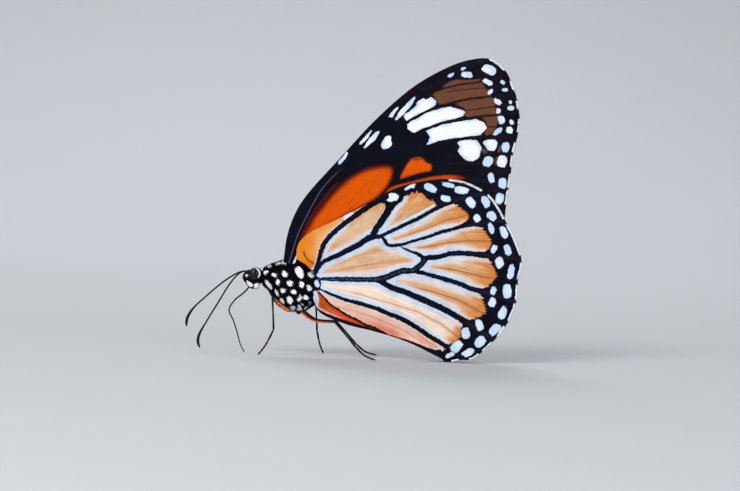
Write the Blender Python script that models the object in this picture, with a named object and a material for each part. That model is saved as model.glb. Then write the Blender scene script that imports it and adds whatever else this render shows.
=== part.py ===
# Common tiger butterfly, a female at rest on its feet with the wings closed over its back, life size.
# It faces -X, its right side is +Y and the floor is z = 0. Sizes below are millimetres.
import math

import bmesh
import bpy
import numpy as np
from mathutils import Vector

# driving dimensions
foreWingLength = 42.0        # hinge to tip of the forewing: every other size is stated for 42 mm
wingThickness = 0.5
pieceGap = 0.1               # clear space between touching pieces
feelerRadius = 0.26          # thinnest round limb
unit = 0.001 * foreWingLength / 42.0

# wing outlines in the side view, as (x, z) from the body outwards
foreWing = {
    "front": [(-10.2, 13.4), (-9.8, 17.3), (-8.8, 20.5), (-7.4, 23.0), (-2.3, 29.2), (2.5, 34.8),
              (7.9, 39.8), (13.4, 43.0), (16.0, 43.8), (18.2, 44.0), (19.6, 43.3), (20.6, 42.4), (21.5, 41.0)],
    "outer": [(21.5, 41.0), (22.5, 38.2), (23.0, 35.3), (22.8, 33.0),
              (22.3, 30.7), (22.0, 26.9), (21.6, 23.0), (21.4, 19.1)],
    "rear": [(-8.2, 13.0), (-0.6, 13.7), (12.3, 16.2), (21.4, 19.1)],
    "root": [(-10.2, 13.4), (-8.2, 13.0)],
}
hindWing = {
    "front": [(-8.3, 14.0), (-8.3, 15.5), (-7.8, 16.7), (-6.3, 18.0), (-3.7, 19.4), (0.5, 21.7),
              (5.4, 24.7), (9.7, 26.0), (12.9, 26.4), (15.5, 26.1), (17.7, 25.2), (19.2, 24.2), (20.2, 23.0),
              (21.4, 21.1)],
    "outer": [(21.4, 21.1), (23.0, 18.3), (24.2, 14.9), (23.8, 12.3), (23.6, 8.8),
              (22.1, 5.2), (19.1, 1.7), (17.5, 0.5), (15.8, 0.3), (14.6, 0.0), (13.7, 0.0), (12.5, 1.1)],
    "rear": [(-5.7, 7.8), (-4.6, 6.4), (-0.9, 4.9), (3.4, 4.0), (8.6, 2.6), (12.5, 1.1)],
    "root": [(-8.3, 14.0), (-6.1, 12.6), (-5.5, 11.4), (-5.9, 9.6), (-5.7, 7.8)],
}
wingGrid = (18, 16)                      # cells along and across each wing
foreWingFar = 0.42                       # middle of the wing from the middle of the insect
foreHinge = (-9.2, 13.3, 0.65, 4.0)      # x, z, how far the hinge stands out beyond that, and its reach
hindWingFar = 1.06
hindRidge = [(-7.2, 12.6, 1.0, 3.4), (-5.6, 10.0, 1.05, 2.9), (4.0, 7.2, 1.0, 2.6), (10.0, 5.9, 0.5, 2.2)]

# the trunk as stations along x: x, bottom, top, half width
headStations = [(-15.8, 10.6, 11.3, 0.35), (-15.55, 10.25, 11.7, 0.7), (-15.0, 9.95, 12.05, 0.95),
                (-14.3, 9.85, 12.35, 1.08), (-13.7, 9.95, 12.3, 1.0), (-13.35, 10.15, 12.1, 0.85)]
neckStations = [(-13.25, 10.0, 12.2, 0.95), (-12.9, 9.7, 12.5, 1.25), (-12.45, 9.4, 12.8, 1.5)]
thoraxStations = [(-12.35, 9.3, 12.9, 1.6), (-11.6, 8.5, 13.25, 2.05), (-11.0, 7.4, 13.5, 2.25),
                  (-10.0, 6.6, 13.85, 2.4), (-9.0, 6.25, 13.85, 2.4), (-8.0, 6.2, 13.6, 2.2),
                  (-7.0, 6.3, 13.1, 1.95), (-6.2, 7.0, 12.5, 1.7), (-5.4, 7.9, 11.7, 1.5)]
abdomenStations = [(-5.3, 8.1, 11.4, 1.35), (-4.0, 7.7, 10.9, 1.5), (-1.0, 6.9, 10.1, 1.55),
                   (3.0, 6.0, 8.9, 1.4), (6.5, 5.2, 7.8, 1.2), (8.8, 4.9, 7.0, 0.95),
                   (10.0, 4.95, 6.5, 0.7), (10.7, 5.3, 6.1, 0.35)]

eyeCentre = (-14.3, 0.92, 11.55)
eyeRadii = (0.82, 0.6, 0.86)

palpRadii = (0.42, 0.4, 0.34, 0.26)
palpRoute = [(-13.8, 0.55, 9.8), (-14.55, 0.55, 9.7), (-15.2, 0.45, 10.25), (-15.55, 0.4, 11.0)]
proboscisRoute = [(-14.8, 0, 10.0), (-15.4, 0, 9.05), (-17.1, 0, 7.45), (-17.75, 0, 6.1),
                  (-17.1, 0, 4.7), (-16.5, 0, 3.1), (-15.9, 0, 1.2), (-15.3, 0, 0.15)]
antennaRoutes = {
    "left": [(-15.0, -0.35, 11.8), (-15.9, -0.5, 11.8), (-16.6, -0.65, 11.4), (-17.8, -1.0, 9.9),
             (-19.2, -1.6, 7.4), (-20.7, -2.4, 4.7), (-21.8, -2.9, 2.5), (-21.9, -3.1, 1.5),
             (-21.6, -3.2, 0.7)],
    "right": [(-15.0, 0.35, 11.8), (-15.9, 0.6, 11.8), (-17.0, 1.0, 11.35), (-18.9, 1.9, 10.0),
              (-21.3, 3.1, 7.8), (-23.3, 4.2, 5.7), (-24.0, 4.6, 4.3), (-24.05, 4.7, 3.2)],
}
clubRadius = 0.32
clubFrom = 10                            # the antenna widens after this many twelfths

# legs as joints: hip, middle of the thigh, knee, ankle, foot
legJoints = {
    "midleg_left": [(-9.1, -1.2, 6.45), (-10.3, -2.1, 7.35), (-11.5, -3.0, 8.55), (-11.1, -4.0, 3.8),
                    (-13.1, -4.6, 0.2)],
    "midleg_right": [(-7.9, 1.2, 6.1), (-6.6, 2.15, 6.75), (-5.3, 3.1, 7.5), (-5.0, 4.2, 3.4),
                     (-4.0, 5.0, 0.2)],
    "hindleg_left": [(-7.2, -0.9, 6.3), (-5.4, -1.9, 5.25), (-2.35, -3.6, 5.2), (0.7, -4.6, 1.9),
                     (3.5, -5.4, 0.2)],
    "hindleg_right": [(-7.0, 0.9, 6.3), (-5.2, 1.9, 5.2), (-2.3, 3.6, 5.0), (0.75, 4.6, 1.7), (3.7, 5.4, 0.2)],
}
femurRadii = {"midleg": (0.4, 0.28), "hindleg": (0.34, 0.26)}
tibiaRadii = (0.28, 0.26)
tarsusRadii = (0.26, 0.26)
tarsusSag = 0.35                         # how far the tarsus arches between ankle and foot
forelegRadii = (0.3, 0.3, 0.26)
forelegRoute = [(-12.0, 0.9, 9.4), (-11.45, 1.3, 8.4), (-10.85, 1.45, 7.7), (-10.35, 1.4, 7.1)]

# how finely each kind of piece is divided: steps along it, sides round it
fineness = {
    "head": (9, 14), "prothorax": (4, 14), "thorax": (14, 18), "abdomen": (15, 14), "eye": (9, 14),
    "palp": (7, 10), "proboscis": (18, 8), "antenna": (22, 8),
    "femur": (5, 9), "tibia": (4, 9), "tarsus": (6, 9), "foreleg": (6, 9),
}
domeTurns = (35, 70)                     # degrees of the rings that round off the end of a limb
sharpTurn = 40                           # edges that turn more than this many degrees stay crisp

colours = {
    "blackScales": ((0.012, 0.011, 0.016), 0.75),
    "eyeFacets": ((0.010, 0.010, 0.018), 0.25),
    "foreWingOrange": ((0.72, 0.17, 0.015), 0.7),
    "hindWingPeach": ((0.72, 0.45, 0.20), 0.7),
    "legCuticle": ((0.02, 0.013, 0.012), 0.5),
}


def clearScene():
    for item in list(bpy.data.objects):
        bpy.data.objects.remove(item, do_unlink=True)


def makeMaterial(name):
    colour, roughness = colours[name]
    material = bpy.data.materials.new(name)
    material.use_nodes = True
    shader = material.node_tree.nodes["Principled BSDF"]
    shader.inputs["Base Color"].default_value = (*colour, 1.0)
    shader.inputs["Roughness"].default_value = roughness
    shader.inputs["Metallic"].default_value = 0.0
    return material


def makePiece(name, points, faces, root, materialName, parent):
    """Mesh object whose origin is its root, the place where it joins the rest."""
    anchor = Vector(root) * unit
    mesh = bpy.data.meshes.new(name)
    mesh.from_pydata([Vector(p) * unit - anchor for p in points], [], faces)
    shell = bmesh.new()
    shell.from_mesh(mesh)
    bmesh.ops.recalc_face_normals(shell, faces=shell.faces)
    shell.to_mesh(mesh)
    shell.free()
    mesh.materials.append(bpy.data.materials[materialName])
    mesh.shade_smooth()
    mesh.set_sharp_from_angle(angle=math.radians(sharpTurn))
    piece = bpy.data.objects.new(name, mesh)
    piece.location = anchor
    piece.parent = parent
    bpy.context.scene.collection.objects.link(piece)
    return piece


def smoothRoute(points, count):
    """Steps along a smooth curve through the points, closer together where the points are."""
    knots = np.array(points, float)
    spans = np.sqrt(np.linalg.norm(np.diff(knots, axis=0), axis=1))
    times = np.concatenate([[0.0], np.cumsum(spans)])
    slopes = np.gradient(knots, times, axis=0)
    steps = np.linspace(0.0, times[-1], count)
    legs = np.clip(np.searchsorted(times, steps, side="right") - 1, 0, len(spans) - 1)
    span = spans[legs][:, None]
    t = ((steps - times[legs]) / spans[legs])[:, None]
    return ((2 * t**3 - 3 * t**2 + 1) * knots[legs] + (t**3 - 2 * t**2 + t) * span * slopes[legs]
            + (3 * t**2 - 2 * t**3) * knots[legs + 1] + (t**3 - t**2) * span * slopes[legs + 1])


def wingSheet(outline, cells):
    """Grid of (x, z) stretched between the four edges of a wing."""
    along, across = cells
    front = smoothRoute(outline["front"], along + 1)[:, None]
    rear = smoothRoute(outline["rear"], along + 1)[:, None]
    root = smoothRoute(outline["root"], across + 1)[None]
    outer = smoothRoute(outline["outer"], across + 1)[None]
    u = np.linspace(0.0, 1.0, along + 1)[:, None, None]
    v = np.linspace(0.0, 1.0, across + 1)[None, :, None]
    corners = ((1 - u) * (1 - v) * front[0, 0] + u * (1 - v) * front[-1, 0]
               + (1 - u) * v * rear[0, 0] + u * v * rear[-1, 0])
    return (1 - v) * front + v * rear + (1 - u) * root + u * outer - corners


def foreWingOffset(x, z):
    hingeX, hingeZ, rise, reach = foreHinge
    away = math.hypot(x - hingeX, z - hingeZ)
    return foreWingFar + rise * math.exp(-(away / reach) ** 2)


def hindWingOffset(x, z):
    """The hindwing bulges where it passes the thorax and the abdomen between the pair."""
    rise = 0.0
    for a, b in zip(hindRidge, hindRidge[1:]):
        length = (b[0] - a[0]) ** 2 + (b[1] - a[1]) ** 2
        t = min(1.0, max(0.0, ((x - a[0]) * (b[0] - a[0]) + (z - a[1]) * (b[1] - a[1])) / length))
        away = math.hypot(x - a[0] - t * (b[0] - a[0]), z - a[1] - t * (b[1] - a[1]))
        height = a[2] + t * (b[2] - a[2])
        width = a[3] + t * (b[3] - a[3])
        rise = max(rise, height * math.exp(-(away / width) ** 2))
    return hindWingFar + rise


def makeWing(name, outline, offset, side, materialName, parent):
    sheet = wingSheet(outline, wingGrid)
    along, across = wingGrid
    points = []
    for face in (-0.5, 0.5):
        for x, z in sheet.reshape(-1, 2):
            points.append((x, side * (offset(x, z) + face * wingThickness), max(z, 0.0)))
    half = len(points) // 2

    def at(i, j, layer):
        return layer * half + i * (across + 1) + j

    faces = []
    for i in range(along):
        for j in range(across):
            for layer in (0, 1):
                ring = ((i, j), (i + 1, j), (i + 1, j + 1), (i, j + 1))
                faces.append(tuple(at(*corner, layer) for corner in ring))
    rim = [(i, 0) for i in range(along)] + [(along, j) for j in range(across)]
    rim += [(i, across) for i in range(along, 0, -1)] + [(0, j) for j in range(across, 0, -1)]
    for a, b in zip(rim, rim[1:] + rim[:1]):
        faces.append((at(*a, 0), at(*b, 0), at(*b, 1), at(*a, 1)))
    rootX, rootZ = np.mean(outline["root"], axis=0)
    return makePiece(name, points, faces, (rootX, side * offset(rootX, rootZ), rootZ), materialName, parent)


def makeTrunk(name, stations, parent):
    """Part of the trunk lofted through upright rounded rings, closed at both ends."""
    rings, sides = fineness[name]
    points = []
    for x, bottom, top, half in smoothRoute(stations, rings):
        for k in range(sides):
            turn = 2 * math.pi * k / sides
            high = (bottom + top) / 2 + (top - bottom) / 2 * math.sin(turn)
            points.append((x, half * math.cos(turn), high))
    faces = [tuple(range(sides))[::-1], tuple(range((rings - 1) * sides, rings * sides))]
    for i in range(rings - 1):
        for k in range(sides):
            a, b = i * sides + k, i * sides + (k + 1) % sides
            faces.append((a, b, b + sides, a + sides))
    x, bottom, top, _ = stations[0]
    return makePiece(name, points, faces, (x, 0, (bottom + top) / 2), "blackScales", parent)


def makeLimb(kind, name, route, radii, materialName, parent):
    """Round limb along a route, with domed ends, flattened where it meets the floor."""
    steps, sides = fineness[kind]
    path = smoothRoute(route, steps)
    shares = np.linspace(0.0, 1.0, steps)
    widths = np.interp(shares, np.linspace(0.0, 1.0, len(radii)), radii)
    heading = np.gradient(path, axis=0)
    heading /= np.linalg.norm(heading, axis=1)[:, None]
    domes = []
    for end, sign in ((0, -1), (-1, 1)):
        for dome in domeTurns[::sign]:
            lift = math.radians(dome)
            middle = path[end] + sign * heading[end] * widths[end] * math.sin(lift)
            domes.append((middle, heading[end], widths[end] * math.cos(lift)))
    rings = domes[:len(domeTurns)] + list(zip(path, heading, widths)) + domes[len(domeTurns):]
    across = Vector((0, 1, 0))
    points = []
    for middle, ahead, radius in rings:
        ahead = Vector(ahead)
        across = (across - ahead * across.dot(ahead)).normalized()
        other = ahead.cross(across)
        for k in range(sides):
            turn = 2 * math.pi * k / sides
            spot = Vector(middle) + (math.cos(turn) * across + math.sin(turn) * other) * float(radius)
            spot.z = max(spot.z, 0.0)
            points.append(spot)
    count = len(rings)
    faces = [tuple(range(sides)), tuple(range((count - 1) * sides, count * sides))[::-1]]
    for i in range(count - 1):
        for k in range(sides):
            a, b = i * sides + k, i * sides + (k + 1) % sides
            faces.append((a, b, b + sides, a + sides))
    return makePiece(name, points, faces, tuple(path[0]), materialName, parent)


def makeBall(name, centre, radii, materialName, parent):
    """Eye-shaped ball of rings and segments."""
    rings, sides = fineness["eye"]
    ball = bmesh.new()
    bmesh.ops.create_uvsphere(ball, u_segments=sides, v_segments=rings, radius=1.0)
    points = [tuple(c + r * p for c, r, p in zip(centre, radii, vert.co)) for vert in ball.verts]
    faces = [tuple(vert.index for vert in face.verts) for face in ball.faces]
    ball.free()
    return makePiece(name, points, faces, centre, materialName, parent)


def trimBy(piece, *neighbours):
    """Cut a piece clear of its neighbours and keep the largest part of what is left."""
    for neighbour in neighbours:
        cutter = neighbour.copy()
        cutter.data = neighbour.data.copy()
        normals = [vert.normal.copy() for vert in cutter.data.vertices]
        for vert, normal in zip(cutter.data.vertices, normals):
            vert.co += normal * pieceGap * unit
        bpy.context.scene.collection.objects.link(cutter)
        cut = piece.modifiers.new("trim", "BOOLEAN")
        cut.operation = "DIFFERENCE"
        cut.solver = "EXACT"
        cut.object = cutter
        bpy.context.view_layer.update()
        result = bpy.data.meshes.new_from_object(piece.evaluated_get(bpy.context.evaluated_depsgraph_get()))
        piece.modifiers.remove(cut)
        piece.data = result
        bpy.data.objects.remove(cutter, do_unlink=True)
    keepLargest(piece.data)
    piece.data.name = piece.name


def keepLargest(mesh):
    shell = bmesh.new()
    shell.from_mesh(mesh)
    islands = []
    left = set(shell.verts)
    while left:
        front = [left.pop()]
        island = set(front)
        while front:
            for edge in front.pop().link_edges:
                for vert in edge.verts:
                    if vert in left:
                        left.discard(vert)
                        island.add(vert)
                        front.append(vert)
        islands.append(island)
    islands.sort(key=len)
    for island in islands[:-1]:
        bmesh.ops.delete(shell, geom=list(island), context="VERTS")
    bmesh.ops.dissolve_degenerate(shell, dist=0.002 * unit, edges=shell.edges)
    shell.to_mesh(mesh)
    shell.free()


def makeBody(parent):
    head = makeTrunk("head", headStations, parent)
    neck = makeTrunk("prothorax", neckStations, parent)
    thorax = makeTrunk("thorax", thoraxStations, parent)
    makeTrunk("abdomen", abdomenStations, parent)
    return head, neck, thorax


def makeHeadPieces(head, parent):
    x, y, z = eyeCentre
    eyes = {}
    palps = []
    for side, sign in (("left", -1), ("right", 1)):
        eyes[side] = makeBall("eye_" + side, (x, sign * y, z), eyeRadii, "eyeFacets", parent)
        trimBy(head, eyes[side])
        route = [(px, sign * py, pz) for px, py, pz in palpRoute]
        palps.append(makeLimb("palp", "palp_" + side, route, palpRadii, "blackScales", parent))
    for palp in palps:
        trimBy(palp, head)
    radii = (feelerRadius, feelerRadius)
    tongue = makeLimb("proboscis", "proboscis", proboscisRoute, radii, "legCuticle", parent)
    trimBy(tongue, head, *palps)
    for side, route in antennaRoutes.items():
        radii = [feelerRadius] * clubFrom + [clubRadius] * (12 - clubFrom)
        antenna = makeLimb("antenna", "antenna_" + side, route, radii, "legCuticle", parent)
        trimBy(antenna, head, eyes[side])


def makeLegs(neck, thorax, parent):
    for name, (hip, thigh, knee, ankle, foot) in legJoints.items():
        radii = femurRadii[name.split("_")[0]]
        femur = makeLimb("femur", name + "_femur", [hip, thigh, knee], radii, "legCuticle", parent)
        tibia = makeLimb("tibia", name + "_tibia", [knee, ankle], tibiaRadii, "legCuticle", parent)
        middle = [(a + b) / 2 for a, b in zip(ankle, foot)]
        middle[2] -= tarsusSag
        route = [ankle, middle, foot]
        tarsus = makeLimb("tarsus", name + "_tarsus", route, tarsusRadii, "legCuticle", parent)
        trimBy(tarsus, tibia)
        trimBy(tibia, femur)
        trimBy(femur, thorax)
    for side, sign in (("left", -1), ("right", 1)):
        route = [(x, sign * y, z) for x, y, z in forelegRoute]
        foreleg = makeLimb("foreleg", "foreleg_" + side, route, forelegRadii, "blackScales", parent)
        trimBy(foreleg, thorax, neck)


def makeWings(thorax, parent):
    for side, sign in (("left", -1), ("right", 1)):
        fore = makeWing("forewing_" + side, foreWing, foreWingOffset, sign, "foreWingOrange", parent)
        trimBy(fore, thorax)
        hind = makeWing("hindwing_" + side, hindWing, hindWingOffset, sign, "hindWingPeach", parent)
        trimBy(hind, thorax)


def centreOnFloor(parent):
    """Move everything so that the middle of the model's box stands on the origin."""
    bpy.context.view_layer.update()
    corners = [piece.matrix_world @ vert.co for piece in parent.children for vert in piece.data.vertices]
    for axis in (0, 1):
        low = min(corner[axis] for corner in corners)
        high = max(corner[axis] for corner in corners)
        parent.location[axis] = -(low + high) / 2
    parent.location.z = -min(corner.z for corner in corners)


clearScene()
for materialName in colours:
    makeMaterial(materialName)
butterfly = bpy.data.objects.new("butterfly", None)
bpy.context.scene.collection.objects.link(butterfly)
headPiece, neckPiece, thoraxPiece = makeBody(butterfly)
makeHeadPieces(headPiece, butterfly)
makeLegs(neckPiece, thoraxPiece, butterfly)
makeWings(thoraxPiece, butterfly)
centreOnFloor(butterfly)
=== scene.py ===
import math

import bmesh
import bpy
import numpy as np
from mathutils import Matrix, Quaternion, Vector


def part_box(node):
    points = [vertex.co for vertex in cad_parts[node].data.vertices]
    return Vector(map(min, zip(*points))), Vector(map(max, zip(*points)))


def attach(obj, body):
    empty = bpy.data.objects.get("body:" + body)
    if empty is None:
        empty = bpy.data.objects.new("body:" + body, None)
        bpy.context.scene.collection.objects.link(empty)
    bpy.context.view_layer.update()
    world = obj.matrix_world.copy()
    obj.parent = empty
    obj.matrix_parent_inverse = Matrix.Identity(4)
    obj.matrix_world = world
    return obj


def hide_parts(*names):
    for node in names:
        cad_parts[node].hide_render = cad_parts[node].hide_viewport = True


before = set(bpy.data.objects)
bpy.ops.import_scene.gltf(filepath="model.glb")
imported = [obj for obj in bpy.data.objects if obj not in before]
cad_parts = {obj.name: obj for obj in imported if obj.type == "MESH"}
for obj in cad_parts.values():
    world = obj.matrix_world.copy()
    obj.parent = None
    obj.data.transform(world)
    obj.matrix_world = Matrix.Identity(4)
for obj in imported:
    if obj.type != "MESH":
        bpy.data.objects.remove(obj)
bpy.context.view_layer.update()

# A common tiger butterfly, a female, standing with its wings closed over its back.
# Sizes are millimetres in the insect's own frame: it faces -X, the camera sees its left side, and the floor
# is at z = 0.
mm = 0.001
thoraxLow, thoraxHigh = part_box("thorax")
thoraxFront = -12.35                       # where the thorax starts in the insect's own frame
shift = np.array([thoraxLow.x / mm - thoraxFront, (thoraxLow.y + thoraxHigh.y) / 2 / mm, 0.0])
random = np.random.default_rng(11)


def paint(red, green, blue):
    # a colour as a screen shows it, made linear for the shader
    shares = [c / 255 for c in (red, green, blue)]
    return tuple(((c + 0.055) / 1.055) ** 2.4 if c > 0.04 else c / 12.92 for c in shares)


def shaded(colour, factor):
    return [factor * c for c in colour]


def smoothRoute(points, count):
    knots = np.array(points, float)
    spans = np.sqrt(np.linalg.norm(np.diff(knots, axis=0), axis=1))
    stops = np.concatenate([[0.0], np.cumsum(spans)])
    slopes = np.gradient(knots, stops, axis=0)
    steps = np.linspace(0.0, stops[-1], count)
    at = np.clip(np.searchsorted(stops, steps, side="right") - 1, 0, len(spans) - 1)
    span = spans[at][:, None]
    t = ((steps - stops[at]) / spans[at])[:, None]
    return ((2 * t**3 - 3 * t**2 + 1) * knots[at] + (t**3 - 2 * t**2 + t) * span * slopes[at]
            + (3 * t**2 - 2 * t**3) * knots[at + 1] + (t**3 - t**2) * span * slopes[at + 1])


def evenRoute(points, count):
    # the same curve in even steps
    dense = smoothRoute(points, 30 * len(points))
    reach = np.concatenate([[0.0], np.cumsum(np.linalg.norm(np.diff(dense, axis=0), axis=1))])
    steps = np.linspace(0.0, reach[-1], count)
    return np.stack([np.interp(steps, reach, column) for column in dense.T], axis=1)


def nearest(places, line):
    # how far each place is from a line, the share of the line where it comes closest, and whether it lies
    # left of it
    away = np.full(len(places), 1e9)
    share = np.zeros(len(places))
    left = np.zeros(len(places), bool)
    for k, (a, b) in enumerate(zip(line, line[1:])):
        leg = b - a
        t = np.clip((places - a) @ leg / max(leg @ leg, 1e-12), 0.0, 1.0)
        gap = np.hypot(*(places - a - t[:, None] * leg).T)
        closer = gap < away
        away[closer] = gap[closer]
        share[closer] = (k + t[closer]) / (len(line) - 1)
        left[closer] = (leg[0] * (places[closer, 1] - a[1]) - leg[1] * (places[closer, 0] - a[0])) > 0
    return away, share, left


def nearestOn(places, course):
    # the same for a smooth course through a few points
    return nearest(places, evenRoute(course, 4 * len(course)))


def roundCorners(outline, rounding):
    ring = np.array(outline, float)
    for _ in range(rounding):
        after = np.roll(ring, -1, axis=0)
        ring = np.stack([0.75 * ring + 0.25 * after, 0.25 * ring + 0.75 * after], axis=1).reshape(-1, 2)
    return ring


def insideBy(places, outline, rounding):
    # how far each place lies inside a closed outline; negative outside
    ring = roundCorners(outline, rounding)
    away, _, _ = nearest(places, np.vstack([ring, ring[:1]]))
    inside = np.zeros(len(places), bool)
    for a, b in zip(ring, np.roll(ring, -1, axis=0)):
        if a[1] == b[1]:
            continue
        crosses = (a[1] > places[:, 1]) != (b[1] > places[:, 1])
        inside ^= crosses & (places[:, 0] < a[0] + (places[:, 1] - a[1]) * (b[0] - a[0]) / (b[1] - a[1]))
    return np.where(inside, away, -away)


def insideAny(places, outlines, rounding):
    return np.max([insideBy(places, outline, rounding) for outline in outlines], axis=0)


def insideOval(places, oval, squareness=2.8):
    x, z, length, height, turn = oval
    turn = math.radians(turn)
    u = (places[:, 0] - x) * math.cos(turn) + (places[:, 1] - z) * math.sin(turn)
    v = (places[:, 1] - z) * math.cos(turn) - (places[:, 0] - x) * math.sin(turn)
    radius = (np.abs(2 * u / length) ** squareness + np.abs(2 * v / height) ** squareness) ** (1 / squareness)
    return (1 - radius) * min(length, height) / 2


def fade(value, low, high):
    # from nought at low to one at high
    t = np.clip((value - low) / (high - low), 0.0, 1.0)
    return t * t * (3 - 2 * t)


def bell(distance, width):
    return np.exp(-(distance / width) ** 2)


def stripes(distance, rows):
    # bells at some distances, each with its half width and its strength
    return sum(strength * bell(distance - at, width) for at, width, strength in rows)


def blend(share, first, second):
    share = np.asarray(share)[:, None]
    return (1 - share) * np.asarray(first) + share * np.asarray(second)


def unit(vectors):
    return vectors / np.linalg.norm(vectors, axis=-1, keepdims=True)


def makePiece(name, points, faces, material, stands=(), smooth=True):
    mesh = bpy.data.meshes.new(name)
    faces = faces if isinstance(faces, list) else faces.tolist()
    mesh.from_pydata(((np.asarray(points) + shift) * mm).tolist(), [], faces)
    mesh.materials.append(material)
    if smooth:
        mesh.shade_smooth()
    piece = bpy.data.objects.new(name, mesh)
    bpy.context.scene.collection.objects.link(piece)
    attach(piece, "root")
    if stands:
        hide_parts(*stands)
    return piece


def giveValues(piece, **values):
    for name, numbers in values.items():
        numbers = np.asarray(numbers, np.float32)
        if numbers.ndim == 1:
            piece.data.attributes.new(name, "FLOAT", "POINT").data.foreach_set("value", numbers)
        else:
            full = np.ones((len(numbers), 4), np.float32)
            full[:, :3] = numbers
            piece.data.attributes.new(name, "FLOAT_COLOR", "POINT").data.foreach_set("color", full.ravel())


def giveMap(piece, name, placeOfPoint):
    corners = np.empty(len(piece.data.loops), np.int32)
    piece.data.loops.foreach_get("vertex_index", corners)
    spread = np.asarray(placeOfPoint, np.float32)[corners].ravel()
    piece.data.uv_layers.new(name=name).data.foreach_set("uv", spread)


def addNode(tree, kind, inputs=None, **settings):
    node = tree.nodes.new(kind)
    for key, value in settings.items():
        setattr(node, key, value)
    for key, value in (inputs or {}).items():
        if isinstance(value, bpy.types.NodeSocket):
            tree.links.new(value, node.inputs[key])
        else:
            node.inputs[key].default_value = value
    return node


def newMaterial(name, roughness, specular, coat=0.0):
    material = bpy.data.materials.new(name)
    material.use_nodes = True
    tree = material.node_tree
    shader = tree.nodes["Principled BSDF"]
    shader.inputs["Roughness"].default_value = roughness
    shader.inputs["Specular IOR Level"].default_value = specular
    shader.inputs["Coat Weight"].default_value = coat
    return material, tree, shader


def carried(tree, name, output="Fac"):
    # a value that every point of the piece carries
    return addNode(tree, "ShaderNodeAttribute", attribute_name=name).outputs[output]


def calc(tree, operation, *values):
    return addNode(tree, "ShaderNodeMath", dict(enumerate(values)), operation=operation).outputs[0]


def plus(tree, first, second):
    return calc(tree, "ADD", first, second)


def times(tree, first, second):
    return calc(tree, "MULTIPLY", first, second)


def noise(tree, place, scale, detail):
    inputs = {"Vector": place, "Scale": scale, "Detail": detail}
    return addNode(tree, "ShaderNodeTexNoise", inputs).outputs["Fac"]


def grain(tree, size, detail=2.0):
    # noise whose patches are about this many millimetres across
    return noise(tree, addNode(tree, "ShaderNodeTexCoord").outputs["Object"], 1.0 / (size * mm), detail)


def swing(tree, value):
    # the same noise about nought
    return calc(tree, "SUBTRACT", value, 0.5)


def step(tree, value, low, high):
    inputs = {"Value": value, "From Min": low, "From Max": high}
    return addNode(tree, "ShaderNodeMapRange", inputs, interpolation_type="SMOOTHSTEP").outputs[0]


def mixPaint(tree, share, first, second, how="MIX"):
    node = addNode(tree, "ShaderNodeMix", data_type="RGBA", blend_type=how)
    for key, value in ((0, share), (6, first), (7, second)):
        if isinstance(value, bpy.types.NodeSocket):
            tree.links.new(value, node.inputs[key])
        elif key:
            node.inputs[key].default_value = (*value[:3], 1.0)
        else:
            node.inputs[key].default_value = value
    return node.outputs[2]


def mottled(tree, share, colour, dark, light):
    # one colour between a darker and a lighter shade of itself
    return mixPaint(tree, share, shaded(colour, dark), shaded(colour, light))


def addColour(tree, shader, colour):
    tree.links.new(colour, shader.inputs["Base Color"])


def addBump(tree, shader, height, depth, strength):
    inputs = {"Height": height, "Distance": depth * mm, "Strength": strength}
    bump = addNode(tree, "ShaderNodeBump", inputs)
    tree.links.new(bump.outputs["Normal"], shader.inputs["Normal"])


studio = {
    "aim": (2.176, 0.0, 16.31),              # what the middle of the picture looks at
    "width": 106.8,                          # how much the picture takes in there
    "lens": 170.0,
    "sensor": 36.0,
    "elevation": 2.0,
    "roll": 2.5,
    "lights": {                              # place in metres, size, power and tint
        "keyLight": ((-0.24, -0.44, 0.36), 0.30, 1.78, (1.0, 0.985, 0.96)),
        "fillLight": ((0.46, -0.44, 0.12), 0.40, 0.9, (0.95, 0.975, 1.0)),
        "lowLight": ((-0.22, -0.52, 0.045), 0.22, 0.62, (0.97, 0.985, 1.0)),
        "backLight": ((-0.05, 0.45, 0.45), 0.35, 1.4, (1.0, 1.0, 1.0)),
    },
    "world": (0.93, 0.96, 1.0, 1.0),
    "worldPower": 0.46,
    "floor": paint(205, 208, 212),
    "floorSize": (2.5, -2.0, 0.35),          # half its width, its front edge and where it bends up, in metres
    "bend": 0.5,                             # radius of the bend
    "floorTop": 2.5,
}


def makeCamera(scene, aim):
    lift, roll = math.radians(studio["elevation"]), math.radians(studio["roll"])
    data = bpy.data.cameras.new("camera")
    data.sensor_width = studio["sensor"]
    data.lens = studio["lens"]
    data.clip_start, data.clip_end = 0.005, 20.0
    away = studio["width"] * mm * data.lens / data.sensor_width
    camera = bpy.data.objects.new("camera", data)
    camera.location = (aim[0], aim[1] - away * math.cos(lift), aim[2] + away * math.sin(lift))
    camera.rotation_mode = "QUATERNION"
    sight = Vector((0, math.cos(lift), -math.sin(lift)))
    camera.rotation_quaternion = Quaternion(sight, -roll) @ sight.to_track_quat("-Z", "Y")
    scene.collection.objects.link(camera)
    scene.camera = camera


def makeLights(scene, aim):
    for name, (place, size, power, tint) in studio["lights"].items():
        lamp = bpy.data.lights.new(name, "AREA")
        lamp.shape = "DISK"
        lamp.size = size
        lamp.energy = power
        lamp.color = tint
        light = bpy.data.objects.new(name, lamp)
        light.location = place
        light.rotation_mode = "QUATERNION"
        light.rotation_quaternion = (Vector(aim) - Vector(place)).to_track_quat("-Z", "Y")
        scene.collection.objects.link(light)
    world = bpy.data.worlds.new("studio")
    world.use_nodes = True
    background = world.node_tree.nodes["Background"]
    background.inputs["Color"].default_value = studio["world"]
    background.inputs["Strength"].default_value = studio["worldPower"]
    scene.world = world
    scene.view_settings.view_transform = "Standard"


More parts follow.
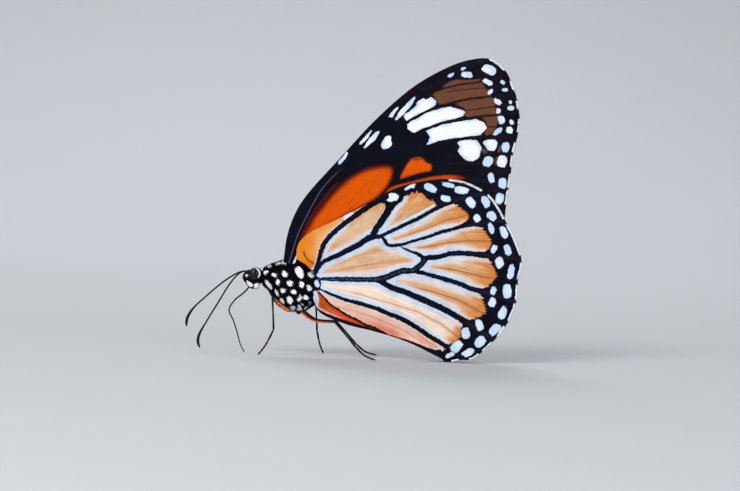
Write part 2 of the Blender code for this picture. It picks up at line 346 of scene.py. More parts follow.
def makeFloor(scene):
    # a pale floor that sweeps up behind
    halfWidth, front, bendAt = studio["floorSize"]
    bend, arcs = studio["bend"], 16
    profile = [(front, 0.0), (bendAt, 0.0)]
    for k in range(1, arcs + 1):
        turn = math.pi / 2 * k / arcs
        profile.append((bendAt + bend * math.sin(turn), bend - bend * math.cos(turn)))
    profile.append((bendAt + bend, studio["floorTop"]))
    points = [(x, y, z) for y, z in profile for x in (-halfWidth, halfWidth)]
    faces = [(2 * i, 2 * i + 1, 2 * i + 3, 2 * i + 2) for i in range(len(profile) - 1)]
    mesh = bpy.data.meshes.new("floor")
    mesh.from_pydata(points, [], faces)
    mesh.shade_smooth()
    material, tree, shader = newMaterial("floorPaper", 0.9, 0.1)
    addColour(tree, shader, mottled(tree, grain(tree, 60.0), studio["floor"], 1.0, 0.97))
    mesh.materials.append(material)
    floor = bpy.data.objects.new("floor", mesh)
    scene.collection.objects.link(floor)


def makeStudio():
    scene = bpy.context.scene
    aim = (np.array(studio["aim"]) + shift) * mm
    makeCamera(scene, aim)
    makeLights(scene, aim)
    makeFloor(scene)


makeStudio()
print("studio ready")


# the wings

foreWing = {
    "front": [
        (-10.2, 13.4), (-9.8, 17.3), (-8.8, 20.5), (-7.4, 23.0), (-2.3, 29.2), (2.5, 34.8), (7.9, 39.8),
        (13.4, 43.0), (16.0, 43.8), (18.2, 44.0), (19.6, 43.3), (20.6, 42.4), (21.5, 41.0)],
    "outer": [
        (21.5, 41.0), (22.5, 38.2), (23.0, 35.3), (22.8, 33.0), (22.3, 30.7), (22.0, 26.9), (21.6, 23.0),
        (21.4, 19.1)],
    "rear": [(-8.2, 13.0), (-0.6, 13.7), (12.3, 16.2), (21.4, 19.1)],
    "root": [(-10.2, 13.4), (-8.2, 13.0)],
    "cells": (230, 120),                     # from the body outwards, and from front to rear
    "far": 0.42,                             # middle of the wing from the middle of the insect
    "ridge": [(-9.2, 13.3, 0.65, 4.0)],      # x, z, how far it stands out there, and its reach
    "fringeFrom": (17.0, 44.0),
    "rims": (0.08, 0.08),                    # how far in it is white beside white fringe: front, outer side
    "blueness": (0.05, 0.95),                # least and most share of blue in its white
    "box": (-11.0, 12.5, 35.0),              # left, bottom and side of the square it is drawn in
    "veins": {                               # half width at the body end and at the far end, then its course
        "costa": ((0.30, 0.16), [
            (-10.3, 13.4), (-9.7, 16.6), (-8.5, 19.8), (-6.8, 23.1), (-4.1, 26.9), (-1.0, 30.5), (2.8, 34.6),
            (7.0, 38.4), (11.2, 41.3), (14.7, 43.1), (18.3, 43.8)]),
        "radiusStem": ((0.26, 0.12), [
            (-9.0, 13.4), (-7.7, 18.4), (-5.6, 23.1), (-2.6, 26.9), (0.4, 30.0), (3.6, 33.3), (7.0, 37.1),
            (11.3, 40.0)]),
        "radius5": ((0.16, 0.16), [
            (4.6, 33.1), (6.5, 35.6), (8.5, 37.6), (11.3, 39.2), (14.4, 40.1), (17.3, 40.6), (19.9, 41.3)]),
        "media1": ((0.16, 0.20, 0.16), [
            (6.2, 34.0), (7.9, 35.1), (10.0, 36.2), (11.4, 36.7), (12.8, 37.3), (14.2, 37.7), (15.7, 38.1),
            (17.1, 38.3), (19.3, 38.6), (22.0, 38.8)]),
        "media2": ((0.22, 0.22, 0.16), [
            (7.0, 31.8), (8.7, 33.1), (10.1, 33.7), (11.5, 34.3), (12.9, 34.7), (14.4, 35.0), (15.8, 35.3),
            (17.2, 35.6), (19.4, 35.9), (22.5, 36.3)]),
        "media3": ((0.16, 0.18, 0.16), [
            (6.5, 29.1), (8.1, 30.4), (10.2, 31.1), (11.6, 31.7), (13.0, 32.0), (15.9, 32.5), (18.8, 32.7),
            (22.4, 32.9)]),
        "cubital1": ((0.15, 0.13), [(6.1, 28.7), (8.8, 29.2), (13.2, 29.6), (17.5, 30.2), (21.9, 30.5)]),
        "cubital2": ((0.18, 0.14), [
            (2.3, 23.2), (4.0, 24.7), (6.2, 25.8), (8.2, 26.5), (10.4, 27.1), (13.2, 27.7), (17.6, 27.7),
            (21.6, 27.8)]),
        "cellEnd": ((0.12, 0.2), [
            (4.6, 33.4), (5.4, 31.7), (6.5, 30.0), (6.1, 28.7), (4.9, 27.0), (3.5, 25.0), (2.3, 23.2)]),
        "cubitusStem": ((0.24, 0.2), [(-8.6, 13.2), (-5.2, 17.2), (-1.6, 20.6), (2.3, 23.2)]),
        "anal": ((0.2, 0.14), [
            (-7.8, 13.5), (-3.6, 15.9), (0.5, 18.6), (4.8, 21.0), (10.5, 23.4), (16.2, 24.9), (21.4, 25.0)]),
    },
    "folds": [
        [(12.0, 38.9), (14.2, 39.3), (17.3, 39.7), (21.5, 40.2)],
        [(13.2, 36.1), (15.3, 36.4), (17.2, 36.7), (19.3, 37.1), (21.9, 37.4)],
        [(11.6, 33.0), (15.1, 33.6), (18.3, 34.1), (22.0, 34.4)],
        [(13.8, 30.8), (17.4, 31.2), (21.7, 31.5)],
        [(12.5, 28.6), (17.5, 28.9), (21.7, 29.1)],
        [(8.0, 25.2), (15.0, 26.4), (21.4, 26.5)]],
    "orange": {
        "cell": [
            (-7.7, 16.5), (-7.6, 17.7), (-7.0, 18.7), (-6.1, 20.4), (-5.1, 21.8), (-3.8, 23.5), (-2.4, 25.1),
            (-1.0, 26.3), (0.7, 27.3), (2.5, 27.9), (4.1, 28.1), (5.1, 27.8), (5.1, 26.5), (4.5, 25.0),
            (3.7, 23.9), (2.9, 23.0), (1.4, 22.0), (-0.9, 20.7), (-4.4, 18.6), (-6.2, 16.0)],
        "wedge": [
            (5.9, 26.0), (6.3, 27.1), (6.8, 28.1), (7.3, 29.0), (7.9, 29.4), (8.9, 29.5), (9.4, 29.2),
            (9.9, 28.7), (10.6, 28.5), (10.7, 27.4), (9.6, 27.2), (8.2, 26.8), (6.9, 26.3)],
        "rear": [
            (3.3, 23.1), (4.5, 24.8), (5.7, 25.3), (7.5, 25.8), (9.0, 26.25), (10.4, 26.65), (11.8, 26.9),
            (13.6, 27.1), (15.1, 27.0), (15.8, 26.6), (13.6, 25.6), (8.0, 23.0), (2.5, 19.5), (1.5, 20.5)],
    },
    "costalLines": [                         # dull lines in front of the orange: paint, width, course
        ("costalRed", 0.19, [
            (-8.3, 14.3), (-8.1, 15.8), (-7.7, 17.3), (-7.2, 18.5), (-6.4, 20.2), (-5.4, 21.9), (-4.2, 23.5),
            (-3.0, 25.0), (-1.6, 26.3)]),
        ("costalBlue", 0.09, [
            (-9.4, 13.3), (-8.8, 15.6), (-8.3, 17.4), (-7.6, 19.1), (-6.8, 20.9), (-6.0, 22.5), (-5.4, 23.7),
            (-4.6, 24.8), (-3.4, 26.2), (-2.1, 27.5), (-1.0, 28.3)])],
    "brown": [
        [(10.1, 38.5), (11.5, 39.6), (13.1, 40.7), (15.1, 40.7), (17.2, 41.0), (17.4, 40.1), (18.1, 39.4),
         (19.0, 38.3), (19.2, 37.6), (19.4, 36.6), (19.9, 35.6), (19.6, 34.2), (19.2, 33.5), (18.4, 32.9),
         (17.9, 33.1), (18.3, 34.3), (18.1, 35.1), (17.0, 35.6), (15.4, 35.4), (14.8, 35.8), (15.3, 36.5),
         (13.8, 37.2), (13.2, 37.4), (11.2, 37.1), (10.9, 37.5), (10.5, 38.1)],
        [(17.7, 31.1), (18.3, 30.7), (18.6, 30.3), (18.1, 30.2), (17.6, 30.5)],
        [(20.1, 31.5), (20.3, 31.7), (20.5, 31.1), (20.3, 30.4), (19.9, 30.3)],
        [(19.7, 29.9), (20.0, 29.9), (19.9, 28.7), (19.6, 28.6)]],
    "white": {
        "band1": [
            (6.1, 35.0), (6.7, 34.3), (8.1, 35.2), (9.3, 35.9), (10.7, 36.8), (10.9, 37.6), (10.1, 38.1),
            (9.2, 37.7), (8.0, 36.9), (7.0, 36.0), (6.4, 35.5)],
        "band2": [
            (6.7, 34.1), (8.6, 35.3), (10.0, 36.1), (11.4, 36.6), (12.8, 36.9), (14.4, 36.5), (15.2, 36.4),
            (14.8, 35.5), (12.9, 34.8), (10.1, 33.7), (8.0, 32.6), (6.8, 33.3)],
        "band3": [
            (9.4, 33.2), (11.5, 34.2), (14.4, 35.0), (16.7, 35.3), (17.8, 34.8), (18.4, 33.9), (17.3, 32.8),
            (14.5, 32.3), (11.6, 31.7), (9.6, 31.0), (10.0, 32.3)],
        "band4": [
            (14.0, 31.8), (14.7, 32.1), (16.0, 32.3), (16.9, 32.2), (17.3, 31.7), (17.7, 31.2), (17.6, 30.4),
            (17.4, 29.7), (16.5, 29.0), (15.5, 29.1), (14.8, 29.6), (14.1, 30.4), (14.4, 31.0), (14.1, 31.5)],
        "block1": [
            (17.6, 31.9), (17.9, 32.2), (18.4, 32.4), (19.5, 32.5), (20.0, 31.9), (19.8, 31.1), (19.4, 30.6),
            (18.5, 30.7), (18.0, 31.4)],
        "block2": [
            (17.8, 28.9), (18.0, 29.8), (18.8, 30.0), (19.4, 29.7), (19.4, 28.9), (18.7, 28.3), (18.0, 28.5)],
        "sliver1": [(3.9, 34.9), (4.6, 34.8), (5.5, 36.3), (5.4, 36.6), (4.9, 36.3), (4.3, 35.6)],
        "sliver2": [
            (4.7, 34.6), (5.2, 34.4), (6.4, 35.6), (7.4, 36.8), (7.9, 38.0), (7.5, 38.1), (6.3, 36.8),
            (5.5, 35.9), (5.2, 35.2)],
        "sliver3": [(7.8, 37.0), (8.1, 36.8), (8.6, 37.1), (9.3, 37.7), (9.0, 38.0), (8.3, 37.6)],
        "cell1": [(-0.2, 30.8), (0.2, 30.6), (1.2, 31.7), (1.9, 33.0), (1.6, 33.1), (0.9, 32.2), (0.3, 31.5)],
        "cell2": [
            (0.5, 30.3), (0.8, 30.2), (2.1, 31.3), (3.0, 32.6), (2.9, 33.0), (2.2, 32.8), (1.7, 32.2),
            (1.1, 31.4)],
        "cell3": [
            (3.1, 30.9), (3.2, 30.4), (3.5, 30.2), (4.2, 30.4), (4.8, 31.0), (4.6, 31.7), (4.6, 32.2),
            (4.3, 32.4), (3.7, 32.3), (3.4, 31.7), (3.2, 31.2)],
        "costal": [
            (-3.1, 28.2), (-2.8, 27.7), (-2.4, 27.9), (-1.7, 28.9), (-1.5, 29.6), (-1.8, 29.8), (-2.3, 29.0)],
        "baseStreak": [(-9.0, 13.1), (-8.5, 13.3), (-7.9, 14.9), (-8.3, 14.9)],
    },
    "spots": [                               # x, z, length, height and turn in degrees
        (18.2, 42.4, 2.1, 1.3, -22), (14.5, 42.4, 0.7, 0.3, 22), (12.7, 41.3, 0.9, 0.4, 22),
        (15.0, 41.5, 1.6, 0.8, -2), (18.1, 40.6, 1.4, 0.7, -28), (20.3, 40.6, 0.8, 0.6, -28),
        (18.5, 39.2, 0.9, 0.6, 52), (20.6, 39.6, 0.9, 0.6, 2), (19.6, 37.9, 1.3, 0.7, -38),
        (21.5, 37.8, 0.6, 0.6, 2), (19.8, 36.5, 0.8, 0.7, -88), (21.6, 37.0, 0.9, 0.6, 2),
        (20.3, 35.2, 1.2, 1.0, -78), (21.8, 35.0, 0.8, 0.6, -78), (19.9, 33.6, 1.4, 0.6, 38),
        (21.5, 33.8, 1.0, 1.0, 2), (21.1, 31.3, 1.5, 1.2, 82), (20.7, 29.3, 1.8, 1.5, 88),
        (19.2, 26.8, 1.4, 0.9, -82), (20.9, 26.1, 1.6, 1.2, 88), (20.6, 23.9, 1.6, 1.3, 78)],
    "cuts": ["media1", "media2", "media3"],  # veins that run black between the white patches
    "whiteFringe": [
        ((18.2, 44.0), (20.5, 42.5)), ((21.3, 41.1), (22.1, 39.6)), ((22.5, 38.1), (22.9, 36.9)),
        ((22.9, 35.4), (23.0, 34.7)), ((22.8, 34.5), (22.9, 33.6)), ((22.4, 32.0), (22.1, 30.6)),
        ((21.9, 30.1), (22.2, 28.5)), ((22.1, 27.4), (21.7, 25.5)), ((21.7, 25.1), (21.5, 23.0))],
}

hindWing = {
    "front": [
        (-8.3, 14.0), (-8.3, 15.5), (-7.8, 16.7), (-6.3, 18.0), (-3.7, 19.4), (0.5, 21.7), (5.4, 24.7),
        (9.7, 26.0), (12.9, 26.4), (15.5, 26.1), (17.7, 25.2), (19.2, 24.2), (20.2, 23.0), (21.4, 21.1)],
    "outer": [
        (21.4, 21.1), (23.0, 18.3), (24.2, 14.9), (23.8, 12.3), (23.6, 8.8), (22.1, 5.2), (19.1, 1.7),
        (17.5, 0.5), (15.8, 0.3), (14.6, 0.0), (13.7, 0.0), (12.5, 1.1)],
    "rear": [(-5.7, 7.8), (-4.6, 6.4), (-0.9, 4.9), (3.4, 4.0), (8.6, 2.6), (12.5, 1.1)],
    "root": [(-8.3, 14.0), (-6.1, 12.6), (-5.5, 11.4), (-5.9, 9.6), (-5.7, 7.8)],
    "cells": (190, 150),
    "far": 1.06,
    "ridge": [(-7.2, 12.6, 1.0, 3.4), (-5.6, 10.0, 1.05, 2.9), (4.0, 7.2, 1.0, 2.6), (10.0, 5.9, 0.5, 2.2)],
    "fringeFrom": (12.6, 26.4),
    "rims": (0.03, 0.20),
    "blueness": (0.30, 0.85),
    "box": (-9.0, -1.0, 34.0),
    "veins": {
        "subcosta": ((0.30, 0.36, 0.36, 0.42, 0.42), [
            (-5.5, 12.4), (-5.1, 14.0), (-4.7, 15.6), (-4.2, 16.7), (-3.5, 17.6), (-2.7, 18.4), (-1.8, 19.2),
            (-0.7, 20.1), (0.1, 20.7), (0.9, 21.4), (1.9, 22.1), (3.0, 22.8), (4.2, 23.5)]),
        "radius": ((0.24, 0.40, 0.46), [
            (-5.4, 12.2), (-4.6, 13.6), (-3.5, 14.2), (-2.1, 14.9), (-0.7, 15.7), (0.7, 16.5), (1.7, 17.3),
            (2.7, 17.7)]),
        "sector": ((0.42, 0.60), [
            (2.4, 17.6), (2.9, 18.7), (3.6, 19.8), (4.4, 21.1), (5.1, 22.4), (6.0, 23.4)]),
        "media1": ((0.26, 0.30, 0.28), [
            (3.4, 17.6), (5.0, 18.5), (6.4, 19.2), (7.8, 20.0), (9.2, 20.7), (10.6, 21.6), (12.0, 22.4),
            (13.4, 23.1), (19.0, 24.8)]),
        "cellEnd1": ((0.30, 0.27, 0.24), [
            (2.4, 17.6), (3.7, 17.7), (4.2, 17.3), (4.6, 16.7), (5.2, 16.5), (6.6, 16.6)]),
        "media2": ((0.20, 0.28, 0.28), [
            (6.5, 16.6), (7.9, 17.1), (9.3, 17.6), (10.8, 18.1), (12.2, 18.7), (13.6, 19.1), (15.0, 19.6),
            (16.5, 20.0), (21.6, 20.8)]),
        "cellEnd2": ((0.10, 0.20, 0.36), [(6.6, 16.4), (7.7, 15.9), (8.9, 15.5), (9.7, 15.1), (10.2, 14.7)]),
        "media3": ((0.36, 0.38, 0.34), [
            (9.9, 14.9), (10.9, 15.0), (12.3, 15.2), (13.8, 15.7), (15.2, 15.8), (16.6, 15.8), (18.1, 15.7),
            (19.5, 15.6), (24.0, 15.3)]),
        "cubitus": ((0.20, 0.34, 0.36, 0.38), [(-5.4, 11.2), (-3.4, 11.3), (0.9, 11.4), (3.5, 11.5)]),
        "cubitusEnd": ((0.42, 0.44, 0.42), [
            (3.3, 11.5), (4.8, 11.9), (6.0, 12.5), (7.1, 12.9), (8.4, 13.0), (9.5, 13.8), (10.2, 14.7)]),
        "cubital1": ((0.30, 0.36, 0.34), [
            (8.1, 13.0), (9.6, 12.8), (11.0, 12.5), (12.2, 12.2), (13.9, 11.8), (15.4, 11.4), (16.9, 10.8),
            (18.3, 10.5), (23.4, 9.1)]),
        "cubital2": ((0.42, 0.46, 0.46, 0.42), [
            (3.3, 11.5), (4.6, 10.9), (6.0, 10.3), (7.5, 9.9), (9.0, 9.3), (10.4, 8.8), (11.9, 8.2),
            (14.1, 7.2), (16.5, 5.9), (20.6, 3.6)]),
        "anal2": ((0.15, 0.28, 0.34, 0.36, 0.34), [
            (-5.0, 9.9), (-4.0, 9.5), (-3.0, 9.1), (-1.8, 8.7), (-0.4, 8.3), (1.1, 8.0), (2.6, 7.6),
            (4.0, 7.2), (5.5, 6.6), (7.0, 6.1), (9.5, 4.8), (11.4, 3.6), (12.9, 2.8), (14.4, 1.9),
            (16.4, 0.4)]),
        "anal3": ((0.13, 0.18, 0.17), [
            (-4.9, 9.4), (-4.0, 8.5), (-3.1, 7.6), (-2.0, 7.0), (-0.9, 6.3), (0.5, 5.7), (1.9, 5.0),
            (3.4, 4.5), (5.0, 3.7), (6.2, 3.1)]),
        "inner": ((0.16, 0.30, 0.42, 0.42, 0.30), [
            (-5.8, 9.3), (-5.8, 8.2), (-5.5, 7.5), (-5.1, 6.8), (-4.4, 6.4), (-3.3, 5.9), (-2.1, 5.5),
            (-0.9, 5.1), (0.5, 4.7), (2.0, 4.3), (3.4, 3.9), (4.9, 3.4), (6.1, 3.1), (8.8, 2.4),
            (12.5, 1.2)]),
    },
    "halos": {                               # how far the whitish scales reach left and right of a vein
        "subcosta": (0.12, 0.44), "radius": (0.50, 0.64), "sector": (0.10, 0.70), "media1": (0.46, 0.60),
        "cellEnd1": (0.50, 0.72), "media2": (0.56, 0.60), "cellEnd2": (0.38, 0.80), "media3": (0.70, 0.62),
        "cubitus": (0.48, 0.52), "cubitusEnd": (0.58, 0.54), "cubital1": (0.70, 0.72),
        "cubital2": (0.62, 0.70), "anal2": (0.60, 0.22)},
    "haloEnds": {"subcosta": 0.52},          # the share of a vein where they stop, if not at its end
    "cuts": ["subcosta"],
    "specked": ["cubitus", "cubitusEnd"],
    "folds": [
        [(4.7, 18.2), (6.4, 19.9), (8.5, 21.3), (10.6, 22.5)],
        [(5.3, 17.2), (7.2, 17.9), (9.0, 18.7), (10.7, 19.4), (12.1, 20.1), (13.5, 20.6), (15.0, 21.0),
         (16.1, 21.4)],
        [(6.8, 16.4), (8.7, 16.3), (10.8, 16.6), (12.3, 17.0), (13.7, 17.3), (15.1, 17.5), (18.0, 17.7),
         (19.6, 17.7)],
        [(10.1, 13.7), (11.0, 13.5), (12.4, 13.5), (13.9, 13.4), (15.3, 13.2), (16.8, 12.9), (18.2, 12.6),
         (20.5, 12.4)],
        [(4.7, 11.4), (6.7, 11.0), (8.2, 10.7), (9.7, 10.4), (11.1, 10.2), (12.6, 9.8), (14.0, 9.4),
         (15.5, 8.9), (17.0, 8.2), (18.4, 7.5), (19.5, 7.2)],
        [(-4.8, 10.4), (-1.9, 9.8), (-0.4, 9.6), (1.0, 9.3), (2.5, 8.9), (4.0, 8.5), (5.4, 8.2), (6.9, 7.8),
         (8.3, 7.4), (9.8, 7.0), (11.3, 6.2), (12.8, 5.6), (14.2, 4.6), (15.7, 3.5)],
        [(-4.6, 9.6), (-2.5, 8.4), (-0.3, 7.3), (1.9, 6.4), (4.1, 5.5), (6.3, 4.7), (8.5, 3.8), (10.7, 2.6),
         (12.3, 1.8)],
        [(-4.9, 12.8), (-2.0, 13.7), (0.8, 14.9), (3.6, 15.7), (6.1, 16.0)],
        [(-4.9, 12.0), (-1.3, 12.8), (2.3, 13.6), (5.9, 14.2), (8.5, 14.6)]],
    "costalFolds": [[(-7.3, 15.1), (-7.1, 14.5), (-6.6, 13.9), (-6.1, 13.6), (-5.5, 13.2)]],
    "field": [                               # inner edge of the black border, then round outside the wing
        (3.3, 23.7), (3.3, 23.1), (3.9, 22.5), (4.5, 21.8), (5.1, 22.6), (5.9, 23.2), (6.9, 23.7),
        (7.8, 24.1), (8.5, 24.3), (9.2, 24.1), (10.1, 23.5), (11.1, 23.1), (11.5, 22.7), (12.9, 22.9),
        (13.9, 23.0), (14.5, 22.7), (15.1, 22.2), (15.8, 21.7), (16.2, 21.3), (16.0, 20.6), (15.4, 20.0),
        (16.5, 20.0), (18.1, 19.7), (18.7, 19.0), (19.2, 18.3), (19.6, 17.7), (19.5, 17.0), (18.8, 16.1),
        (18.1, 15.8), (19.3, 15.3), (19.8, 14.4), (20.3, 13.6), (20.6, 12.7), (20.1, 12.0), (19.2, 11.1),
        (18.2, 10.4), (18.6, 9.7), (18.9, 8.7), (19.2, 7.9), (19.3, 7.3), (18.5, 6.9), (17.6, 6.5),
        (16.8, 6.0), (16.2, 5.6), (15.8, 4.9), (15.7, 4.1), (15.7, 3.5), (14.9, 3.0), (14.3, 2.6),
        (14.2, 2.0), (13.5, 1.7), (12.5, 1.7), (11.5, 0.0), (3.0, 1.5), (-8.0, 4.0), (-12.0, 12.0),
        (-10.0, 20.0), (-4.0, 22.0), (1.0, 24.5)],
    "areas": {
        "base": [
            (-8.4, 13.6), (-7.4, 13.2), (-6.6, 12.7), (-5.9, 12.4), (-5.6, 12.8), (-5.4, 13.2), (-5.2, 12.4),
            (-5.4, 11.7), (-4.9, 11.5), (-4.6, 10.9), (-4.6, 10.1), (-4.9, 9.6), (-5.5, 9.5), (-6.3, 9.1),
            (-8.2, 9.1)],
        "costal": [
            (-9.0, 13.2), (-5.6, 12.4), (-5.2, 14.3), (-4.9, 15.7), (-4.3, 16.8), (-3.5, 18.1), (-2.7, 19.1),
            (-1.6, 20.0), (-1.8, 22.5), (-10.0, 19.5)],
        "anal": [
            (-5.1, 10.1), (-3.0, 9.2), (-0.4, 8.3), (2.6, 7.5), (5.5, 6.6), (9.5, 4.7), (12.9, 2.8),
            (14.4, 1.9), (12.5, 1.2), (7.4, 2.9), (3.4, 4.5), (0.5, 5.8), (-2.2, 7.1), (-4.0, 8.6),
            (-4.9, 9.5)],
        "inner": [
            (-4.9, 9.5), (-4.0, 8.6), (-2.2, 7.1), (0.5, 5.8), (3.4, 4.5), (7.4, 2.9), (12.5, 1.2),
            (5.0, 1.0), (-8.0, 5.5), (-6.5, 9.8)],
        "cornerPatch": [
            (11.7, 1.7), (12.2, 2.0), (12.8, 2.0), (13.4, 1.7), (13.2, 1.3), (12.7, 0.8), (12.1, 1.1)],
        "basePatch": [
            (-5.8, 9.3), (-5.4, 9.5), (-5.1, 9.2), (-4.8, 8.4), (-4.9, 7.6), (-5.0, 7.1), (-5.4, 7.3),
            (-5.7, 8.2)],
    },
    "spots": [
        (7.5, 25.0, 1.7, 0.5, 22), (10.5, 25.0, 2.0, 1.0, -22), (13.0, 25.6, 1.6, 0.7, -8),
        (15.1, 24.9, 2.0, 1.1, 0), (18.6, 23.4, 1.7, 1.1, -68), (19.5, 21.4, 1.4, 1.3, -42),
        (21.4, 19.1, 1.7, 1.0, -70), (22.0, 16.6, 1.7, 1.0, -66), (22.7, 13.5, 2.2, 1.0, 84),
        (22.2, 10.6, 2.0, 1.3, -82), (21.7, 7.5, 1.9, 1.2, 70), (20.7, 5.0, 1.9, 1.3, 54),
        (18.6, 3.1, 1.8, 1.4, 42), (17.0, 1.5, 1.9, 1.1, 32), (14.3, 1.0, 1.3, 0.7, 28),
        (-1.1, 20.4, 1.8, 0.95, 36), (-5.2, 10.5, 1.0, 0.6, -68), (5.1, 23.4, 1.7, 1.2, 8),
        (12.8, 23.6, 1.6, 0.9, -6), (16.4, 23.2, 1.6, 1.2, -52), (17.4, 20.9, 1.1, 1.0, -42),
        (19.5, 19.6, 1.5, 0.8, -66), (20.0, 16.6, 1.2, 0.8, 72), (20.9, 14.7, 1.5, 1.2, -68),
        (20.2, 10.6, 1.2, 0.8, 68), (20.1, 8.9, 1.4, 1.1, 72), (18.4, 5.6, 1.6, 1.0, -72),
        (16.5, 4.3, 1.8, 1.2, -78), (15.3, 2.4, 1.9, 1.4, 50)],
    "whiteFringe": [
        ((13.1, 26.4), (18.0, 25.2)), ((19.0, 24.6), (21.4, 21.1)), ((21.9, 20.3), (22.9, 18.3)),
        ((22.8, 18.2), (23.9, 15.9)), ((24.1, 14.7), (23.4, 12.4)), ((23.2, 11.5), (23.5, 9.4)),
        ((23.6, 8.7), (22.5, 6.4)), ((22.2, 5.4), (21.1, 4.0)), ((20.2, 3.2), (19.1, 1.7)),
        ((18.6, 1.3), (17.2, 0.3)), ((15.7, 0.7), (14.6, 0.1))],
}

wingPaint = {
    "black": paint(7, 7, 11),
    "navy": paint(11, 18, 44),
    "white": paint(250, 252, 255),
    "blueWhite": paint(178, 210, 247),
    "warmWhite": paint(240, 228, 206),
    "foreOrange": paint(222, 88, 2),
    "foreDark": paint(96, 14, 4),
    "costalRed": paint(70, 20, 32),
    "costalBlue": paint(70, 80, 110),
    "veinTrace": paint(50, 34, 38),
    "apexBrown": paint(110, 69, 51),
    "hindPeach": paint(216, 170, 126),
    "hindHalo": paint(206, 228, 255),
    "hindBloom": paint(240, 226, 216),
    "hindPink": paint(242, 206, 212),
    "hindCream": paint(252, 238, 224),
    "hindWarm": paint(216, 128, 38),
    "hindCostal": paint(226, 132, 36),
    "hindPale": paint(236, 186, 128),
    "hindAnal": paint(246, 206, 180),
    "hindInner": paint(230, 74, 22),
    "hindDeep": paint(196, 84, 20),
    "streakPale": paint(244, 212, 172),
    "foldWarm": paint(210, 148, 92),
    "foldBrown": paint(150, 80, 34),
    "upperFore": paint(206, 84, 16),         # the upper sides, which face each other
    "upperHind": paint(214, 104, 34),
}

wingMake = {
    "half": 0.11,                            # half the thickness of the membrane
    "edgeHalf": 0.015,                       # what is left of it at the margin
    "veinRise": 0.07,                        # how far a vein stands up
    "pleat": 0.09,                           # how deep the folds between the veins go
    "pleatReach": 1.5,                       # and how far they reach
    "fringe": 0.42,                          # length of the longest fringe scales
    "fringeGap": 0.016,                      # from one fringe scale to the next along the margin
    "inset": 0.20,                           # the membrane ends this far inside the fringe
    "fringeRoot": 0.14,                      # and a fringe scale starts this far inside the membrane
    "insetReach": 0.6,
    "marginSteps": (900, 700),
    "patchGap": 0.04,                        # half the dark gap between neighbouring white patches
    "sharpness": 2.5,                        # how fast white gives way there and along the veins
}

hindShade = {                                # how strongly a colour covers the peach ground, 0 to 1
    "warm": 0.9,                             # brownish orange near the black border
    "bloom": 0.85,                           # whitish beside the veins
    "bloomLoss": (0.75, 0.40),               # less of it in front of the first media vein, and in the cell
    "cellBloom": 0.2,
    "cream": 0.85,                           # the whiter space behind the last cubital vein
    "folds": (0.65, 0.36),                   # brownish along the folds, and its half width
    "rays": [(0.34, 0.06, 0.25), (0.6, 0.05, 0.25)],        # across a space: place, half width, strength
    "costal": {"pale": 0.9, "low": 0.5, "fold": 0.95},      # beside the vein, low down, in its short folds
    "anal": 0.65,                            # orange inside the pinkish part behind the second anal vein
    "analPink": [(1.0, 0.22, 0.6), (1.7, 0.2, 0.5)],        # behind that vein: place, half width, strength
    "analWarm": [(1.35, 0.12, 0.5)],
    "analDeep": [(0.85, 0.35, 0.5)],
    "innerPink": [(0.38, 0.15, 0.85)],
}

foreShade = {
    "rim": (0.32, 0.38),                     # how far in the orange darkens, and how much farther in the cell
    "cellTop": (0.9, 0.6),                   # strength and half width of the dark along the top of the cell
    "stripeEnd": 0.85,                       # how dark the end of the rear stripe is
    "ragged": (0.97, 0.6),                   # how ragged the wedge is, and the end of the rear stripe
    "crisp": 1.5,                            # how much sharper the brown's edges are
    "soft": (0.10, 0.12, 0.18),              # how softly colours meet the black, then what brown and cell add
    "crease": 0.8,
}

wingGrain = {                                # sizes of patches in millimetres, each with its detail
    "ragged": (0.26, 3.0),
    "wander": (0.8, 1.0),
    "dust": (0.13, 1.0),
    "shade": (1.2, 3.0),
    "navy": (3.0, 2.0),
    "specks": (0.16, 1.0),
    "whiteDrift": (0.28, 0.34),              # how far those two kinds of patches move the edges of the white
    "darkDrift": (0.36, 0.14),
    "lanes": (9.0, 3.0),                     # how fine the streaks are across and along a space
    "streak": (3.2, 0.4),                    # length and width of a streak that follows no space
    "streakTint": (0.84, 0.62, 0.42),
    "dustTint": (0.84, 0.76, 0.72),
    "shadeTint": (0.80, 0.72, 0.66),
    "rowDepth": 0.012,                       # how deep the grooves between rows of scales go
}

foreLook = {"streaksTurn": 42.0, "fold": "black", "navy": 0.55, "warmWhite": 0.4}
hindLook = {"streaksTurn": None, "fold": "foldBrown", "navy": 1.0, "warmWhite": 0.2}
bothHands = (("Left", -1), ("Right", 1))


def wingSheet(wing):
    # rows of points spread between the four edges of the wing
    along, across = wing["cells"]
    front = evenRoute(wing["front"], along + 1)[:, None]
    rear = evenRoute(wing["rear"], along + 1)[:, None]
    root = evenRoute(wing["root"], across + 1)[None]
    outer = evenRoute(wing["outer"], across + 1)[None]
    u = np.linspace(0.0, 1.0, along + 1)[:, None, None]
    v = np.linspace(0.0, 1.0, across + 1)[None, :, None]
    corners = ((1 - u) * (1 - v) * front[0, 0] + u * (1 - v) * front[-1, 0]
               + (1 - u) * v * rear[0, 0] + u * v * rear[-1, 0])
    return ((1 - v) * front + v * rear + (1 - u) * root + u * outer - corners).reshape(-1, 2)


def sheetFaces(along, across):
    # both sides of the sheet and the rim between them
    count = (along + 1) * (across + 1)
    i, j = np.meshgrid(np.arange(along), np.arange(across), indexing="ij")
    a = (i * (across + 1) + j).ravel()
    quad = np.column_stack([a, a + across + 1, a + across + 2, a + 1])
    rim = np.concatenate([np.arange(along) * (across + 1), along * (across + 1) + np.arange(across),
                          np.arange(along, 0, -1) * (across + 1) + across, np.arange(across, 0, -1)])
    after = np.roll(rim, -1)
    return np.vstack([quad, quad[:, ::-1] + count, np.column_stack([rim, rim + count, after + count, after])])


